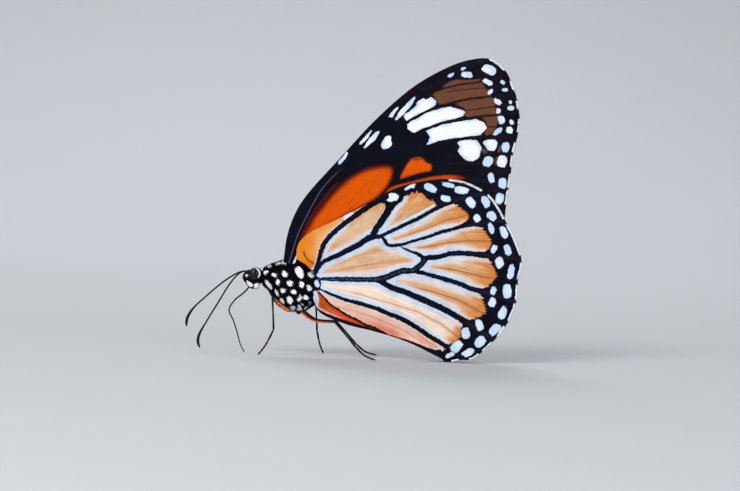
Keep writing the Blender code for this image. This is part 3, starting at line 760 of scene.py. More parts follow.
def wingMiddle(wing, places):
    # how far the middle of the wing stands out from the middle of the insect
    rise = np.zeros(len(places))
    ridge = wing["ridge"]
    for a, b in zip(ridge, ridge[1:] + ridge[-1:]):
        leg = np.array([b[0] - a[0], b[1] - a[1]])
        t = np.clip((places - a[:2]) @ leg / max(leg @ leg, 1e-9), 0.0, 1.0)
        gap = np.hypot(*(places - a[:2] - t[:, None] * leg).T)
        rise = np.maximum(rise, (a[2] + t * (b[2] - a[2])) * bell(gap, a[3] + t * (b[3] - a[3])))
    return wing["far"] + rise


def fringeRoute(wing):
    # the margin that carries the fringe, from the front of the wing round to its rear corner
    frontSteps, outerSteps = wingMake["marginSteps"]
    edge = np.vstack([evenRoute(wing["front"], frontSteps), evenRoute(wing["outer"], outerSteps)[1:]])
    edge = edge[np.argmin(np.hypot(*(edge - wing["fringeFrom"]).T)):]
    reach = np.concatenate([[0.0], np.cumsum(np.hypot(*np.diff(edge, axis=0).T))])
    return edge, reach


def outOfEdge(edge):
    # the way out of the wing at every step of its margin
    slope = np.gradient(edge, axis=0)
    slope /= np.hypot(*slope.T)[:, None]
    return np.column_stack([-slope[:, 1], slope[:, 0]])


def whiteStretches(wing, edge, reach):
    # where the fringe is white, as lengths along the margin
    stretches = []
    for ends in wing["whiteFringe"]:
        at = [reach[np.argmin(np.hypot(*(edge - end).T))] for end in ends]
        stretches.append((min(at), max(at)))
    return stretches


def wingMargin(wing, places):
    # how far each place is from the margin, the share of the margin there, its way out, and how far inside a
    # white stretch of the fringe it lies
    edge, reach = fringeRoute(wing)
    away, share, _ = nearest(places, edge[::8])          # every eighth step is close enough
    at = share * (len(edge) - 1)
    run = np.interp(at, np.arange(len(edge)), reach)
    stretches = whiteStretches(wing, edge, reach)
    stretch = np.max([np.minimum(run - low, high - run) for low, high in stretches], axis=0)
    return away, share, outOfEdge(edge)[at.astype(int)], stretch


def veinHalf(halves, share):
    return np.interp(share, np.linspace(0, 1, len(halves)), halves)


def betweenLines(fold, clear):
    # nought on a fold, one on a vein
    return fold / (fold + np.maximum(clear, 0) + 0.05)


def wingLines(wing, places):
    # how each place lies to the veins and to the folds between them
    count = len(places)
    clear, rise, halo, speck = np.full(count, 9.0), np.zeros(count), np.zeros(count), np.zeros(count)
    for name, (halves, course) in wing["veins"].items():
        away, share, left = nearestOn(places, course)
        half = veinHalf(halves, share)
        gap = away - half
        clear = np.minimum(clear, gap)
        rise = np.maximum(rise, bell(away, 0.55 * half + 0.05))
        if name in wing.get("halos", {}):
            width = np.where(left, *wing["halos"][name])
            ends = wing["haloEnds"].get(name, 2.0)
            halo = np.maximum(halo, bell(np.maximum(gap, 0), width) * fade(share, ends + 0.1, ends - 0.1))
        if name in wing.get("specked", ()):
            speck = np.maximum(speck, bell(away, 0.13))
    fold, foldShare, side = np.full(count, 9.0), np.zeros(count), np.zeros(count)
    for course in wing["folds"]:
        away, share, left = nearestOn(places, course)
        closer = away < fold
        fold[closer], foldShare[closer] = away[closer], share[closer]
        side[closer] = np.where(left[closer], 1, -1)
    return {"clear": clear, "rise": rise, "halo": halo, "speck": speck, "fold": fold, "foldShare": foldShare,
            "lane": side * betweenLines(fold, clear)}


def fromVein(wing, name, places):
    # how far each place is from a vein, and the share of the vein there
    away, share, _ = nearestOn(places, wing["veins"][name][1])
    return away, share


def insideVeins(wing, places, ahead, back, count):
    # one inside the space that some veins enclose, nought outside it; the later ones are followed backwards
    routes = [evenRoute(wing["veins"][name][1], count) for name in ahead]
    routes += [evenRoute(wing["veins"][name][1], count)[::-1] for name in back]
    return fade(insideBy(places, np.vstack(routes), 0), 0.0, 0.3)


def insidePatch(places, outline):
    # a thin dark gap stays between two neighbouring patches
    inside = insideBy(places, outline, 0) - wingMake["patchGap"]
    return np.where(inside < 0, wingMake["sharpness"] * inside, inside)


def cutByVeins(wing, white, places):
    # some veins run dark through the white
    for name in wing["cuts"]:
        away, share = fromVein(wing, name, places)
        white = np.minimum(white, wingMake["sharpness"] * (away - veinHalf(wing["veins"][name][0], share)))
    return white


def plainGround(places, colour):
    return np.tile(wingPaint[colour], (len(places), 1))


def cover(ground, share, colour):
    return blend(share, ground, wingPaint[colour])


def costalGround(places):
    # orange in front of the subcosta, paler beside it, with a few short dark folds at its foot
    shade = hindShade["costal"]
    away, share = fromVein(hindWing, "subcosta", places)
    beside = bell(away, 1.3) * fade(share, 0.02, 0.25) * shade["pale"]
    ground = cover(plainGround(places, "hindCostal"), beside, "hindPale")
    ground = cover(ground, fade(places[:, 1], 14.2, 13.2) * shade["low"], "foreOrange")
    for course in hindWing["costalFolds"]:
        ground = cover(ground, shade["fold"] * bell(nearestOn(places, course)[0], 0.12), "foreDark")
    return ground


def analGround(places, toAnal2):
    # behind the second anal vein: pinkish, orange in its middle, with lines along the vein
    x = places[:, 0]
    orange = fade(x, -0.5, 5.0) * fade(x, 10.0, 5.5) * fade(toAnal2, 0.7, 2.2) * hindShade["anal"]
    ground = cover(plainGround(places, "hindAnal"), orange, "hindInner")
    ground = cover(ground, stripes(toAnal2, hindShade["analPink"]), "hindPink")
    ground = cover(ground, stripes(toAnal2, hindShade["analWarm"]), "foldWarm")
    atCorner = fade(x, 8.0, 10.5) * fade(x, 13.2, 12.2)
    return cover(ground, atCorner * stripes(toAnal2, hindShade["analDeep"]), "hindDeep")


def innerGround(places):
    # a narrow orange strip edged with pink
    x = places[:, 0]
    toInner, _ = fromVein(hindWing, "inner", places)
    ground = cover(plainGround(places, "hindInner"), fade(x, -1.0, -4.5), "hindDeep")
    return cover(ground, stripes(toInner, hindShade["innerPink"]) * fade(x, -0.5, -3.0), "hindPink")


def markHindWing(places, lines):
    clear, fold, x = lines["clear"], lines["fold"], places[:, 0]
    border = insideBy(places, hindWing["field"], 0)
    areas = {name: insideBy(places, outline, 1) for name, outline in hindWing["areas"].items()}
    share = {name: fade(area, -0.05, 0.1) for name, area in areas.items()}
    # black border and veins, with the corners between them rounded
    inner = np.minimum(clear, border)
    dark = inner - 0.12 * bell(clear - border, 0.4) * np.exp(-inner / 0.5)
    dark = np.minimum(dark, np.maximum(-areas["base"], areas["basePatch"]))
    spots = np.max([insideOval(places, spot) for spot in hindWing["spots"]], axis=0)
    white = cutByVeins(hindWing, spots, places)
    # whitish scales beside the veins
    warm = bell(np.maximum(border, 0), 2.4) * fade(x, 2.0, 12.0)
    halo = lines["halo"] * (1 - 0.5 * warm) * (1 - share["costal"] * 0.4)
    halo = halo * (1 - 0.6 * share["anal"] * fade(x, -3.0, 1.0)) * (1 - share["inner"])
    halo = np.maximum(halo, np.maximum(share["cornerPatch"], fade(areas["basePatch"], -0.1, 0.1)))
    # the spaces are whitish towards their veins, least of all in the cell and before the first media vein
    discal = insideVeins(hindWing, places, ("radius", "cellEnd1", "cellEnd2"), ("cubitusEnd", "cubitus"), 16)
    sideways = np.abs(lines["lane"])
    frontLine = np.array(hindWing["veins"]["radius"][1] + hindWing["veins"]["media1"][1][1:])
    inFront = fade(places[:, 1] - np.interp(x, *frontLine.T), 0.0, 0.3)
    lossInFront, lossInCell = hindShade["bloomLoss"]
    whitish = (1 - lossInFront * inFront - lossInCell * discal) * fade(border, 0.8, 3.4)
    whitish = hindShade["bloom"] * whitish * fade(sideways, 0.10, 0.60) + hindShade["cellBloom"] * discal
    ground = cover(plainGround(places, "hindPeach"), hindShade["warm"] * warm, "hindWarm")
    ground = cover(ground, whitish, "hindBloom")
    # the space behind the last cubital vein is whiter than the others
    whiter = insideVeins(hindWing, places, ("cubitus", "cubital2"), ("anal2",), 20)
    whiter = whiter * fade(border, 0.3, 1.6)
    ground = cover(ground, hindShade["cream"] * whiter, "hindCream")
    along = fade(lines["foldShare"], 0.02, 0.35) * fade(clear, 0.0, 0.3)
    along = along * (1 - share["inner"]) * (1 - 0.75 * share["anal"])
    strength, width = hindShade["folds"]
    ground = cover(ground, (strength - 0.35 * whiter - 0.2 * discal) * bell(fold, width) * along, "foldWarm")
    # the three strips with colours of their own
    toAnal2, _ = fromVein(hindWing, "anal2", places)
    ground = blend(share["costal"], ground, costalGround(places))
    ground = blend(share["anal"], ground, analGround(places, toAnal2))
    ground = blend(share["inner"], ground, innerGround(places))
    ground = cover(ground, stripes(sideways, hindShade["rays"]) * along * (1 - 0.5 * whiter), "foldWarm")
    crease = (0.6 - 0.15 * whiter - 0.4 * discal) * np.exp(-(fold / 0.6) ** 4) * along
    return {"dark": dark, "white": white, "ground": ground, "upper": plainGround(places, "upperHind"),
            "soft": np.full(len(places), 0.05), "halo": halo, "crease": crease * (1 - share["costal"]),
            "lane": lines["lane"] * (1 - share["costal"]),
            "teeth": bell(border, 0.45) * fade(clear, 0.15, 0.5)}


def markForeWing(places, lines):
    clear, fold = lines["clear"], lines["fold"]
    x, z = places.T
    nought = np.zeros(len(places))
    orange = insideAny(places, foreWing["orange"].values(), 1)
    brown = np.minimum(insideAny(places, foreWing["brown"], 1), clear)
    isBrown = fade(brown - orange, -0.3, 0.0)
    white = np.max([insidePatch(places, outline) for outline in foreWing["white"].values()]
                   + [insideOval(places, spot) for spot in foreWing["spots"]], axis=0)
    white = cutByVeins(foreWing, white, places)
    # the orange darkens to its rims, most of all along the top of the cell
    cell = foreWing["orange"]["cell"]
    inCell = fade(insideBy(places, cell, 1), -0.2, 0.0)
    toTop, _, _ = nearest(places, evenRoute(cell[:12], 60))
    rim, cellRim = foreShade["rim"]
    strength, width = foreShade["cellTop"]
    ground = cover(plainGround(places, "foreOrange"), fade(orange, rim + cellRim * inCell, -0.05), "foreDark")
    ground = cover(ground, strength * inCell * bell(toTop, width), "foreDark")
    # its wedge in the middle and the end of its rear stripe stay ragged and dim
    overWedge = fade(x, 6.0, 7.0) * fade(x, 11.0, 10.2) * fade(z, 27.7, 29.0)
    stripeEnd = fade(x, 12.4, 15.6) * fade(z, 28.5, 27.8)
    ground = cover(ground, foreShade["stripeEnd"] * stripeEnd, "foreDark")
    ground = cover(ground, isBrown, "apexBrown")
    dark = np.maximum(orange, brown)
    wedgeRagged, endRagged = foreShade["ragged"]
    ragged = (wedgeRagged * overWedge + endRagged * stripeEnd) * (dark > 0)
    dark = dark * (1 + foreShade["crisp"] * isBrown - ragged)
    for colour, width, course in foreWing["costalLines"]:
        away, share, _ = nearestOn(places, course)
        line = bell(away, width) * fade(share, 1.0, 0.75) * (orange < 0.1)
        ground = cover(ground, line, colour)
        dark = np.maximum(dark, (line - 0.4) * 0.5)
    soft, brownSoft, cellSoft = foreShade["soft"]
    return {"dark": dark, "white": white, "ground": ground, "halo": nought, "teeth": nought,
            "upper": cover(plainGround(places, "upperFore"), fade(z, 30.0, 31.0), "black"),
            "soft": soft + brownSoft * isBrown + cellSoft * inCell, "lane": lines["lane"],
            "crease": foreShade["crease"] * np.exp(-(fold / 0.6) ** 4) * isBrown}


def layer(tree, under, share, strength, over, how="MIX"):
    return mixPaint(tree, times(tree, share, strength), under, over, how)


def darkened(tree, ground, share, strength, tint):
    return layer(tree, ground, share, strength, tint, "MULTIPLY")


def streaksOneWay(tree, turn):
    place = addNode(tree, "ShaderNodeTexCoord").outputs["Object"]
    length, width = wingGrain["streak"]
    tilt, stretch = (0.0, math.radians(-turn), 0.0), (length * mm, 1.0, width * mm)
    inputs = {"Vector": place, "Rotation": tilt, "Scale": stretch}
    along = addNode(tree, "ShaderNodeMapping", inputs, vector_type="TEXTURE").outputs[0]
    return noise(tree, along, 1.0, 3.0)


def hindScales(tree, ground, streak, ragged):
    # pale streaks, then whitish scales along the veins, bluer close to them
    ground = layer(tree, ground, step(tree, streak, 0.46, 0.36), 0.3, wingPaint["streakPale"])
    halo = carried(tree, "halo")
    broken = plus(tree, times(tree, swing(tree, streak), 1.2), times(tree, ragged, 0.6))
    nearVein = calc(tree, "MINIMUM", times(tree, halo, 3.0), 1.0)
    halo = plus(tree, halo, times(tree, broken, nearVein))
    blue = mottled(tree, step(tree, streak, 0.42, 0.58), wingPaint["hindHalo"], 1.0, 0.80)
    ground = layer(tree, ground, step(tree, halo, 0.05, 0.5), 0.7, wingPaint["hindBloom"])
    return layer(tree, ground, step(tree, halo, 0.18, 0.85), 0.95, blue)


def drift(tree, ragged, wander, shares):
    # how far an edge moves to and fro
    return plus(tree, times(tree, ragged, shares[0]), times(tree, wander, shares[1]))


def wingMaterial(name, look):
    material, tree, shader = newMaterial(name, 0.72, 0.05)
    ragged = swing(tree, grain(tree, *wingGrain["ragged"]))
    wander = swing(tree, grain(tree, *wingGrain["wander"]))
    dust = step(tree, grain(tree, *wingGrain["dust"]), 0.3, 0.7)
    # streaks that follow the spaces between the veins
    fineAcross, fineAlong = wingGrain["lanes"]
    lane, run = times(tree, carried(tree, "lane"), fineAcross), times(tree, carried(tree, "run"), fineAlong)
    lanes = addNode(tree, "ShaderNodeCombineXYZ", {"X": lane, "Y": run}).outputs[0]
    streak = noise(tree, lanes, 1.0, 3.0)
    # the edges of the white and of the black wander a little, and the black border reaches in along the lanes
    # in fine teeth
    white = plus(tree, carried(tree, "white"), drift(tree, ragged, wander, wingGrain["whiteDrift"]))
    teeth = times(tree, swing(tree, noise(tree, lanes, 2.4, 2.0)), 1.3)
    teeth = times(tree, teeth, carried(tree, "teeth"))
    darkDrift = drift(tree, ragged, wander, wingGrain["darkDrift"])
    dark = plus(tree, plus(tree, carried(tree, "dark"), darkDrift), teeth)
    dark = calc(tree, "DIVIDE", dark, carried(tree, "soft"))
    # the ground between the veins
    isHind = look["streaksTurn"] is None
    across = streak if isHind else streaksOneWay(tree, look["streaksTurn"])
    ground = carried(tree, "ground", "Color")
    ground = darkened(tree, ground, step(tree, across, 0.50, 0.62), 0.5, wingGrain["streakTint"])
    if isHind:
        ground = hindScales(tree, ground, streak, ragged)
    crease = step(tree, calc(tree, "ABSOLUTE", carried(tree, "lane")), 0.11, 0.03)
    ground = mixPaint(tree, times(tree, crease, carried(tree, "crease")), ground, wingPaint[look["fold"]])
    ground = darkened(tree, ground, dust, 0.16, wingGrain["dustTint"])
    shade = step(tree, grain(tree, *wingGrain["shade"]), 0.45, 0.65)
    ground = darkened(tree, ground, shade, 0.35, wingGrain["shadeTint"])
    # the black, bluish in patches, with dim lines along its veins and folds
    patches = step(tree, grain(tree, *wingGrain["navy"]), 0.25, 0.75)
    black = layer(tree, wingPaint["black"], patches, look["navy"], wingPaint["navy"])
    black = layer(tree, black, dust, 0.35, shaded(wingPaint["black"], 2.4))
    black = layer(tree, black, carried(tree, "trace"), 0.6, wingPaint["veinTrace"])
    # the white, bluish at its rims and streaked with a warmer white
    pale = mottled(tree, dust, wingPaint["white"], 0.92, 1.0)
    pale = mixPaint(tree, carried(tree, "blue"), pale, wingPaint["blueWhite"])
    pale = layer(tree, pale, step(tree, streak, 0.44, 0.58), look["warmWhite"], wingPaint["warmWhite"])
    colour = mixPaint(tree, step(tree, dark, -1.0, 1.0), black, ground)
    colour = mixPaint(tree, step(tree, white, -0.03, 0.04), colour, pale)
    specks = times(tree, carried(tree, "speck"), step(tree, grain(tree, *wingGrain["specks"]), 0.56, 0.62))
    addColour(tree, shader, layer(tree, colour, specks, 0.3, wingPaint["blueWhite"]))
    # rows of scales
    rows = addNode(tree, "ShaderNodeUVMap", uv_map="rows").outputs["UV"]
    waves = {"Vector": rows, "Scale": 1.6, "Distortion": 1.5, "Detail": 1.0}
    wave = addNode(tree, "ShaderNodeTexWave", waves, wave_type="BANDS").outputs["Fac"]
    addBump(tree, shader, plus(tree, times(tree, wave, 0.5), dust), wingGrain["rowDepth"], 0.7)
    return material


def wingMarks(wing, mark, places, lines, toEdge, stretch):
    # everything that the wing's colours hang on, for its outer face and its inner face
    marks = mark(places, lines)
    rim = np.interp(places[:, 0], [20.5, 21.5], wing["rims"])
    white = np.maximum(marks["white"], np.minimum(rim - toEdge, stretch))
    # the white is blue at its rims and near the wing's margin
    low, high = wing["blueness"]
    depth = (5.5 - 2.9 * fade(toEdge, 5.5, 4.0)) * np.maximum(white, 0)
    blue = low + (high - low) * fade(np.sin(places[:, 0] * 1.7 + places[:, 1] * 0.9) - depth, -2.6, 0.2)
    # thin brownish lines show the veins and folds inside the black margin
    inBlack = fade(marks["dark"] - np.minimum(lines["clear"], 0), 0.05, -0.25)
    trace = np.maximum(lines["rise"] ** 3, 0.7 * bell(lines["fold"], 0.09)) * inBlack
    trace *= fade(places[:, 0], 9.0, 13.0)
    both = {"white": white, "blue": blue, "trace": trace, "speck": lines["speck"], "run": lines["foldShare"],
            **{key: marks[key] for key in ("dark", "soft", "lane", "crease", "teeth")}}
    return {"ground": np.vstack([marks["ground"], marks["upper"]]),
            "halo": np.concatenate([marks["halo"], 0 * white]),
            **{key: np.tile(values, 2) for key, values in both.items()}}


def makeWing(name, wing, mark, material):
    along, across = wing["cells"]
    places = wingSheet(wing)
    lines = wingLines(wing, places)
    toEdge, edgeShare, outOf, stretch = wingMargin(wing, places)
    marks = wingMarks(wing, mark, places, lines, toEdge, stretch)
    fold = lines["fold"]
    pleat = wingMake["pleat"] * (betweenLines(fold, lines["clear"]) - 0.5)
    pleat = pleat * np.exp(-fold / wingMake["pleatReach"])
    inset = wingMake["inset"] * np.exp(-toEdge / wingMake["insetReach"]) * fade(edgeShare, 0.0, 0.03)
    places = places - inset[:, None] * outOf
    middle = wingMiddle(wing, places) + pleat
    half = wingMake["half"] * fade(toEdge, -0.1, 0.6) + wingMake["edgeHalf"]
    rise = wingMake["veinRise"] * lines["rise"]
    outerFace, innerFace = middle + half + rise, middle - half - 0.5 * rise
    x, z = places[:, 0], np.maximum(places[:, 1], 0.02)
    left, bottom, side = wing["box"]
    spread = np.column_stack([(x - left) / side / 2, (places[:, 1] - bottom) / side])
    rows = np.meshgrid(np.linspace(0, 40, along + 1), np.linspace(0, 24, across + 1), indexing="ij")
    faces = sheetFaces(along, across)
    for hand, sign in bothHands:
        points = np.vstack([np.column_stack([x, sign * y, z]) for y in (outerFace, innerFace)])
        stands = [name.lower() + "_" + hand.lower()]
        piece = makePiece(name + hand, points, faces[:, ::sign], material, stands)
        giveValues(piece, **marks)
        giveMap(piece, "OFBake", np.vstack([spread, spread + (0.5, 0.0)]))
        giveMap(piece, "rows", np.tile(np.stack(rows, axis=2).reshape(-1, 2), (2, 1)))
        piece.data.uv_layers.active = piece.data.uv_layers["OFBake"]


makeWing("forewing", foreWing, markForeWing, wingMaterial("foreWingScales", foreLook))
makeWing("hindwing", hindWing, markHindWing, wingMaterial("hindWingScales", hindLook))
print("wings ready")


# the fringe: narrow scales along the outer margin of each wing

tuftPoints = 7                               # three round the root, three round the middle, and the tip
tuftFaces = [
    (0, 2, 1), (0, 1, 4), (0, 4, 3), (1, 2, 5), (1, 5, 4), (2, 0, 3), (2, 3, 5), (3, 4, 6), (4, 5, 6),
    (5, 3, 6)]
tuftPatch = [[0, 0], [1, 0], [0, 1], [0.3, 0.2], [0.8, 0.3], [0.3, 0.8], [0.9, 0.9]]
tuftPatchSize = 0.003                        # a share of the unwrapped skin


def prismTufts(roots, ahead, up, across, lengths, widths, lift, settle, thick=0.35):
    # closed three-sided tapering tufts; each starts at its root, lifts off and settles along its lie
    low, high = np.radians(lift)[:, None], np.radians(settle)[:, None]
    lengths, widths = np.asarray(lengths)[:, None], np.asarray(widths)[:, None]
    rise = np.cos(low) * ahead + np.sin(low) * up
    middle = roots + 0.5 * lengths * rise
    tip = middle + 0.5 * lengths * (np.cos(high) * ahead + np.sin(high) * up)
    corners = []
    for centre, share in ((roots, 0.75), (middle, 1.0)):
        for aside, above in ((-0.5, 0.0), (0.5, 0.0), (0.0, thick)):
            corners.append(centre + share * widths * (aside * across + above * up))
    points = np.stack([*corners, tip], axis=1)
    faces = np.arange(len(roots))[:, None, None] * tuftPoints + np.array(tuftFaces)[None]
    return points.reshape(-1, 3), faces.reshape(-1, 3)


def perPoint(values):
    # a value of every tuft, for each of its points
    return np.repeat(np.asarray(values, float), tuftPoints)


def patchMap(piece, spread):
    # every tuft is one small patch where its root lies on the unwrapped skin
    patch = tuftPatchSize * np.array(tuftPatch)
    giveMap(piece, "OFBake", (spread[:, None] + patch[None]).reshape(-1, 2))


def fringeMaterial():
    material, tree, shader = newMaterial("fringeScales", 0.7, 0.08)
    addColour(tree, shader, mixPaint(tree, carried(tree, "pale"), wingPaint["black"], wingPaint["white"]))
    return material


def alongMargin(at, reach, columns):
    return np.column_stack([np.interp(at, reach, column) for column in columns.T])


def turned(ways, by):
    return np.column_stack([ways[:, 0] * np.cos(by) - ways[:, 1] * np.sin(by),
                            ways[:, 0] * np.sin(by) + ways[:, 1] * np.cos(by)])


def makeFringe(name, wing, material):
    edge, reach = fringeRoute(wing)
    left, bottom, side = wing["box"]
    stretches = whiteStretches(wing, edge, reach)
    count = int(reach[-1] / wingMake["fringeGap"])
    for hand, sign in bothHands:
        at = np.sort(random.uniform(0, reach[-1], count))
        pale = np.zeros(count)
        for low, high in stretches:
            inside = (at > low + random.normal(0, 0.08, count)) & (at < high + random.normal(0, 0.08, count))
            pale = np.maximum(pale, inside)
        place = alongMargin(at, reach, edge)
        lean = np.radians(random.normal(-6, 9, count))
        out = turned(alongMargin(at, reach, outOfEdge(edge)), lean)
        lengths = wingMake["fringe"] * random.uniform(0.65, 1.0, count) * np.where(pale > 0, 1.0, 0.8)
        start = place - out * (wingMake["inset"] + wingMake["fringeRoot"])
        middle = sign * (wingMiddle(wing, start) + random.uniform(-0.06, 0.06, count))
        roots = np.column_stack([start[:, 0], middle, np.maximum(start[:, 1], 0.05)])
        ahead = np.column_stack([out[:, 0], np.zeros(count), out[:, 1]])
        up = np.tile([0.0, float(sign), 0.0], (count, 1))
        widths = random.uniform(0.07, 0.12, count)
        lift, settle = random.normal(0, 5, count), random.normal(0, 7, count)
        points, faces = prismTufts(roots, ahead, up, np.cross(ahead, up), lengths, widths, lift, settle, 0.3)
        points[:, 2] = np.maximum(points[:, 2], 0.0)
        piece = makePiece(name + hand, points, faces, material)
        giveValues(piece, pale=perPoint(pale))
        patchMap(piece, (place - (left, bottom)) / side)


fringeScales = fringeMaterial()
makeFringe("foreFringe", foreWing, fringeScales)
makeFringe("hindFringe", hindWing, fringeScales)
print("fringe ready")


# the body: one skin from the face to the tail, under a coat of hair and scales

body = {
    "stations": [                            # x, bottom, top, half width
        (-15.8, 10.6, 11.3, 0.35), (-15.55, 10.25, 11.7, 0.7), (-15.0, 9.95, 12.05, 0.95),
        (-14.3, 9.85, 12.35, 1.08), (-13.7, 9.95, 12.3, 1.0), (-13.3, 10.15, 12.0, 0.8),
        (-12.9, 9.75, 12.5, 1.2), (-12.35, 9.3, 12.9, 1.6), (-11.6, 8.5, 13.25, 2.05),
        (-11.0, 7.4, 13.5, 2.25), (-10.0, 6.6, 13.85, 2.4), (-9.0, 6.25, 13.85, 2.4), (-8.0, 6.2, 13.6, 2.2),
        (-7.0, 6.3, 13.1, 1.95), (-6.2, 7.0, 12.5, 1.7), (-5.4, 7.9, 11.7, 1.5), (-4.0, 7.7, 10.9, 1.5),
        (-1.0, 6.9, 10.1, 1.55), (3.0, 6.0, 8.9, 1.4), (6.5, 5.2, 7.8, 1.2), (8.8, 4.9, 7.0, 0.95),
        (10.0, 4.95, 6.5, 0.7), (10.7, 5.3, 6.1, 0.35)],
    "rings": 230,
    "sides": 96,
    "sink": [(-16.0, 0.10), (-13.3, 0.10), (-12.3, 0.20), (-6.0, 0.20), (-4.5, 0.08), (11.0, 0.06)],
    "segments": [-3.6, -1.6, 0.4, 2.4, 4.3, 6.1, 7.7, 9.0, 10.1],
    "spots": [
        (-12.3, 12.7, 0.6, 0.5, 2), (-12.7, 11.8, 0.65, 0.45, 28), (-11.0, 13.1, 0.65, 0.35, 32),
        (-10.3, 13.4, 0.75, 0.5, -58), (-11.5, 11.6, 0.65, 0.5, 2), (-10.0, 11.8, 0.9, 0.65, -78),
        (-7.9, 12.1, 1.7, 1.0, -62), (-6.2, 11.8, 0.95, 0.9, -28), (-10.9, 10.6, 0.8, 0.5, -88),
        (-9.2, 10.5, 0.9, 0.75, 2), (-7.5, 10.4, 0.95, 0.65, -88), (-6.4, 9.9, 0.95, 0.6, -78),
        (-5.2, 10.5, 1.1, 0.65, -68), (-12.2, 10.1, 1.6, 0.6, -52), (-11.0, 9.1, 1.0, 0.4, -68),
        (-10.1, 9.4, 0.75, 0.65, 2), (-8.6, 9.3, 0.75, 0.65, 2), (-9.1, 8.1, 1.2, 0.8, -78),
        (-7.7, 8.4, 1.2, 0.45, 72), (-6.8, 8.5, 0.75, 0.7, 2), (-10.2, 7.8, 1.2, 0.5, -76),
        (-9.4, 6.8, 0.6, 0.3, -82), (-8.7, 6.8, 0.9, 0.7, 72), (-7.7, 6.7, 1.4, 0.6, 84),
        (-6.5, 6.8, 0.9, 0.8, 22), (-6.2, 7.7, 0.7, 0.4, -58), (-7.3, 7.5, 0.3, 0.3, 2),
        (-15.35, 11.2, 0.4, 0.35, -88), (-13.7, 9.8, 0.85, 0.75, -88), (-2.5, 7.9, 0.8, 0.4, 0),
        (0.0, 7.4, 0.8, 0.4, 0), (2.4, 6.9, 0.8, 0.4, 0), (4.6, 6.4, 0.7, 0.35, 0), (6.6, 6.0, 0.6, 0.3, 0)],
    "black": paint(8, 9, 13),
    "white": paint(250, 251, 255),
}

coat = {                                     # many of its values go by the place along the body
    "tufts": 17000,
    "density": ([-16, -13.5, -13, -12, -6, -5, -4, 11], [2.4, 2.0, 2.0, 1.6, 1.6, 1.2, 0.5, 0.5]),
    "length": (
        [-16, -14.9, -13.3, -12.3, -6.2, -5.0, -3.5, 11], [0.50, 0.32, 0.45, 0.62, 0.62, 0.45, 0.28, 0.24]),
    "lift": ([-16, -13, -12, -6, -4], [30, 30, 32, 28, 12]),             # degrees off the skin
    "hairWidth": 0.065,
    "scaleWidth": 0.27,                      # the white scales are short, broad and flat
    "scaleLength": 0.62,
    "scaleLift": 6.0,
    "thickness": (0.35, 0.06),               # of hairs and of scales, as shares of their width
    "hang": 0.45,                            # how far the thorax's hair hangs down
    "faceFrom": -14.9,                       # in front of this the hair stands up and forwards
    "stray": 0.16,
    "lightUp": 0.35,                         # how far up the white scales' share of side light comes from
}


def tubeGrid(path, radii, sides, widen=1.0):
    # rings of points round a path
    heading = unit(np.gradient(path, axis=0))
    across = np.array([0.0, 1.0, 0.0])
    turn = np.linspace(0, 2 * np.pi, sides, endpoint=False)[:, None]
    rings = []
    for middle, ahead, radius in zip(path, heading, radii):
        across = across - ahead * (across @ ahead)
        across /= np.linalg.norm(across)
        other = np.cross(ahead, across)
        rings.append(middle + radius * (widen * np.cos(turn) * across + np.sin(turn) * other))
    return np.array(rings)


def gridFaces(rings, sides):
    i, k = np.meshgrid(np.arange(rings - 1), np.arange(sides), indexing="ij")
    a, b = (i * sides + k).ravel(), (i * sides + (k + 1) % sides).ravel()
    faces = np.column_stack([a, b, b + sides, a + sides]).tolist()
    return [list(range(sides))[::-1], *faces, list(range((rings - 1) * sides, rings * sides))]


def gridPiece(name, grid, material, stands=()):
    rings, sides = grid.shape[:2]
    piece = makePiece(name, grid.reshape(-1, 3), gridFaces(rings, sides), material, stands)
    mesh = piece.data
    middle = sum((point.co for point in mesh.vertices), Vector()) / len(mesh.vertices)
    if sum(face.normal.dot(face.center - middle) for face in mesh.polygons[1:200]) < 0:
        mesh.flip_normals()
    spread = np.meshgrid(np.linspace(0.02, 0.98, rings), np.linspace(0.02, 0.98, sides), indexing="ij")
    giveMap(piece, "OFBake", np.stack(spread, axis=2).reshape(-1, 2))
    return piece


def bodyGrid():
    x, bottom, top, half = smoothRoute(body["stations"], body["rings"]).T
    sink = np.interp(x, *np.array(body["sink"]).T)
    turn = np.linspace(0, 2 * np.pi, body["sides"], endpoint=False)
    swell = np.ones_like(x)
    for start in body["segments"]:           # each abdomen ring overlaps the next
        gap = x - start
        swell -= 0.05 * bell(gap, 0.10) + 0.02 * np.exp(-(np.maximum(gap, 0) / 0.5)) * (gap > 0)
    rx = np.maximum(half - sink, 0.05) * swell
    rz = np.maximum((top - bottom) / 2 - sink, 0.05) * swell
    y = rx[:, None] * np.cos(turn)
    z = ((top + bottom) / 2)[:, None] + rz[:, None] * np.sin(turn)
    return np.stack([np.repeat(x[:, None], body["sides"], 1), y, z], axis=2)


def gridNormals(grid):
    # the way out of the skin at every point of a grid, and the way back along it
    along = np.gradient(grid, axis=0)
    around = np.roll(grid, -1, axis=1) - np.roll(grid, 1, axis=1)
    out = np.cross(around, along)
    out /= np.linalg.norm(out, axis=2)[..., None] + 1e-12
    if np.sum(out * (grid - grid.mean(axis=1, keepdims=True))) < 0:
        out = -out
    along /= np.linalg.norm(along, axis=2)[..., None] + 1e-12
    return out, along


def whiteMarks(places, outward, spots):
    # how far each place lies inside a white spot, seen from the side; none along the back and the belly
    side = np.column_stack([places[:, 0], places[:, 2]])
    marks = np.max([insideOval(side, spot, 2.2) for spot in spots], axis=0)
    return np.where(np.abs(outward[:, 1]) > 0.16, marks, np.minimum(marks, -0.2))


def gridMarks(grid, spots):
    # the same for every point of a skin
    return whiteMarks(grid.reshape(-1, 3), gridNormals(grid)[0].reshape(-1, 3), spots)


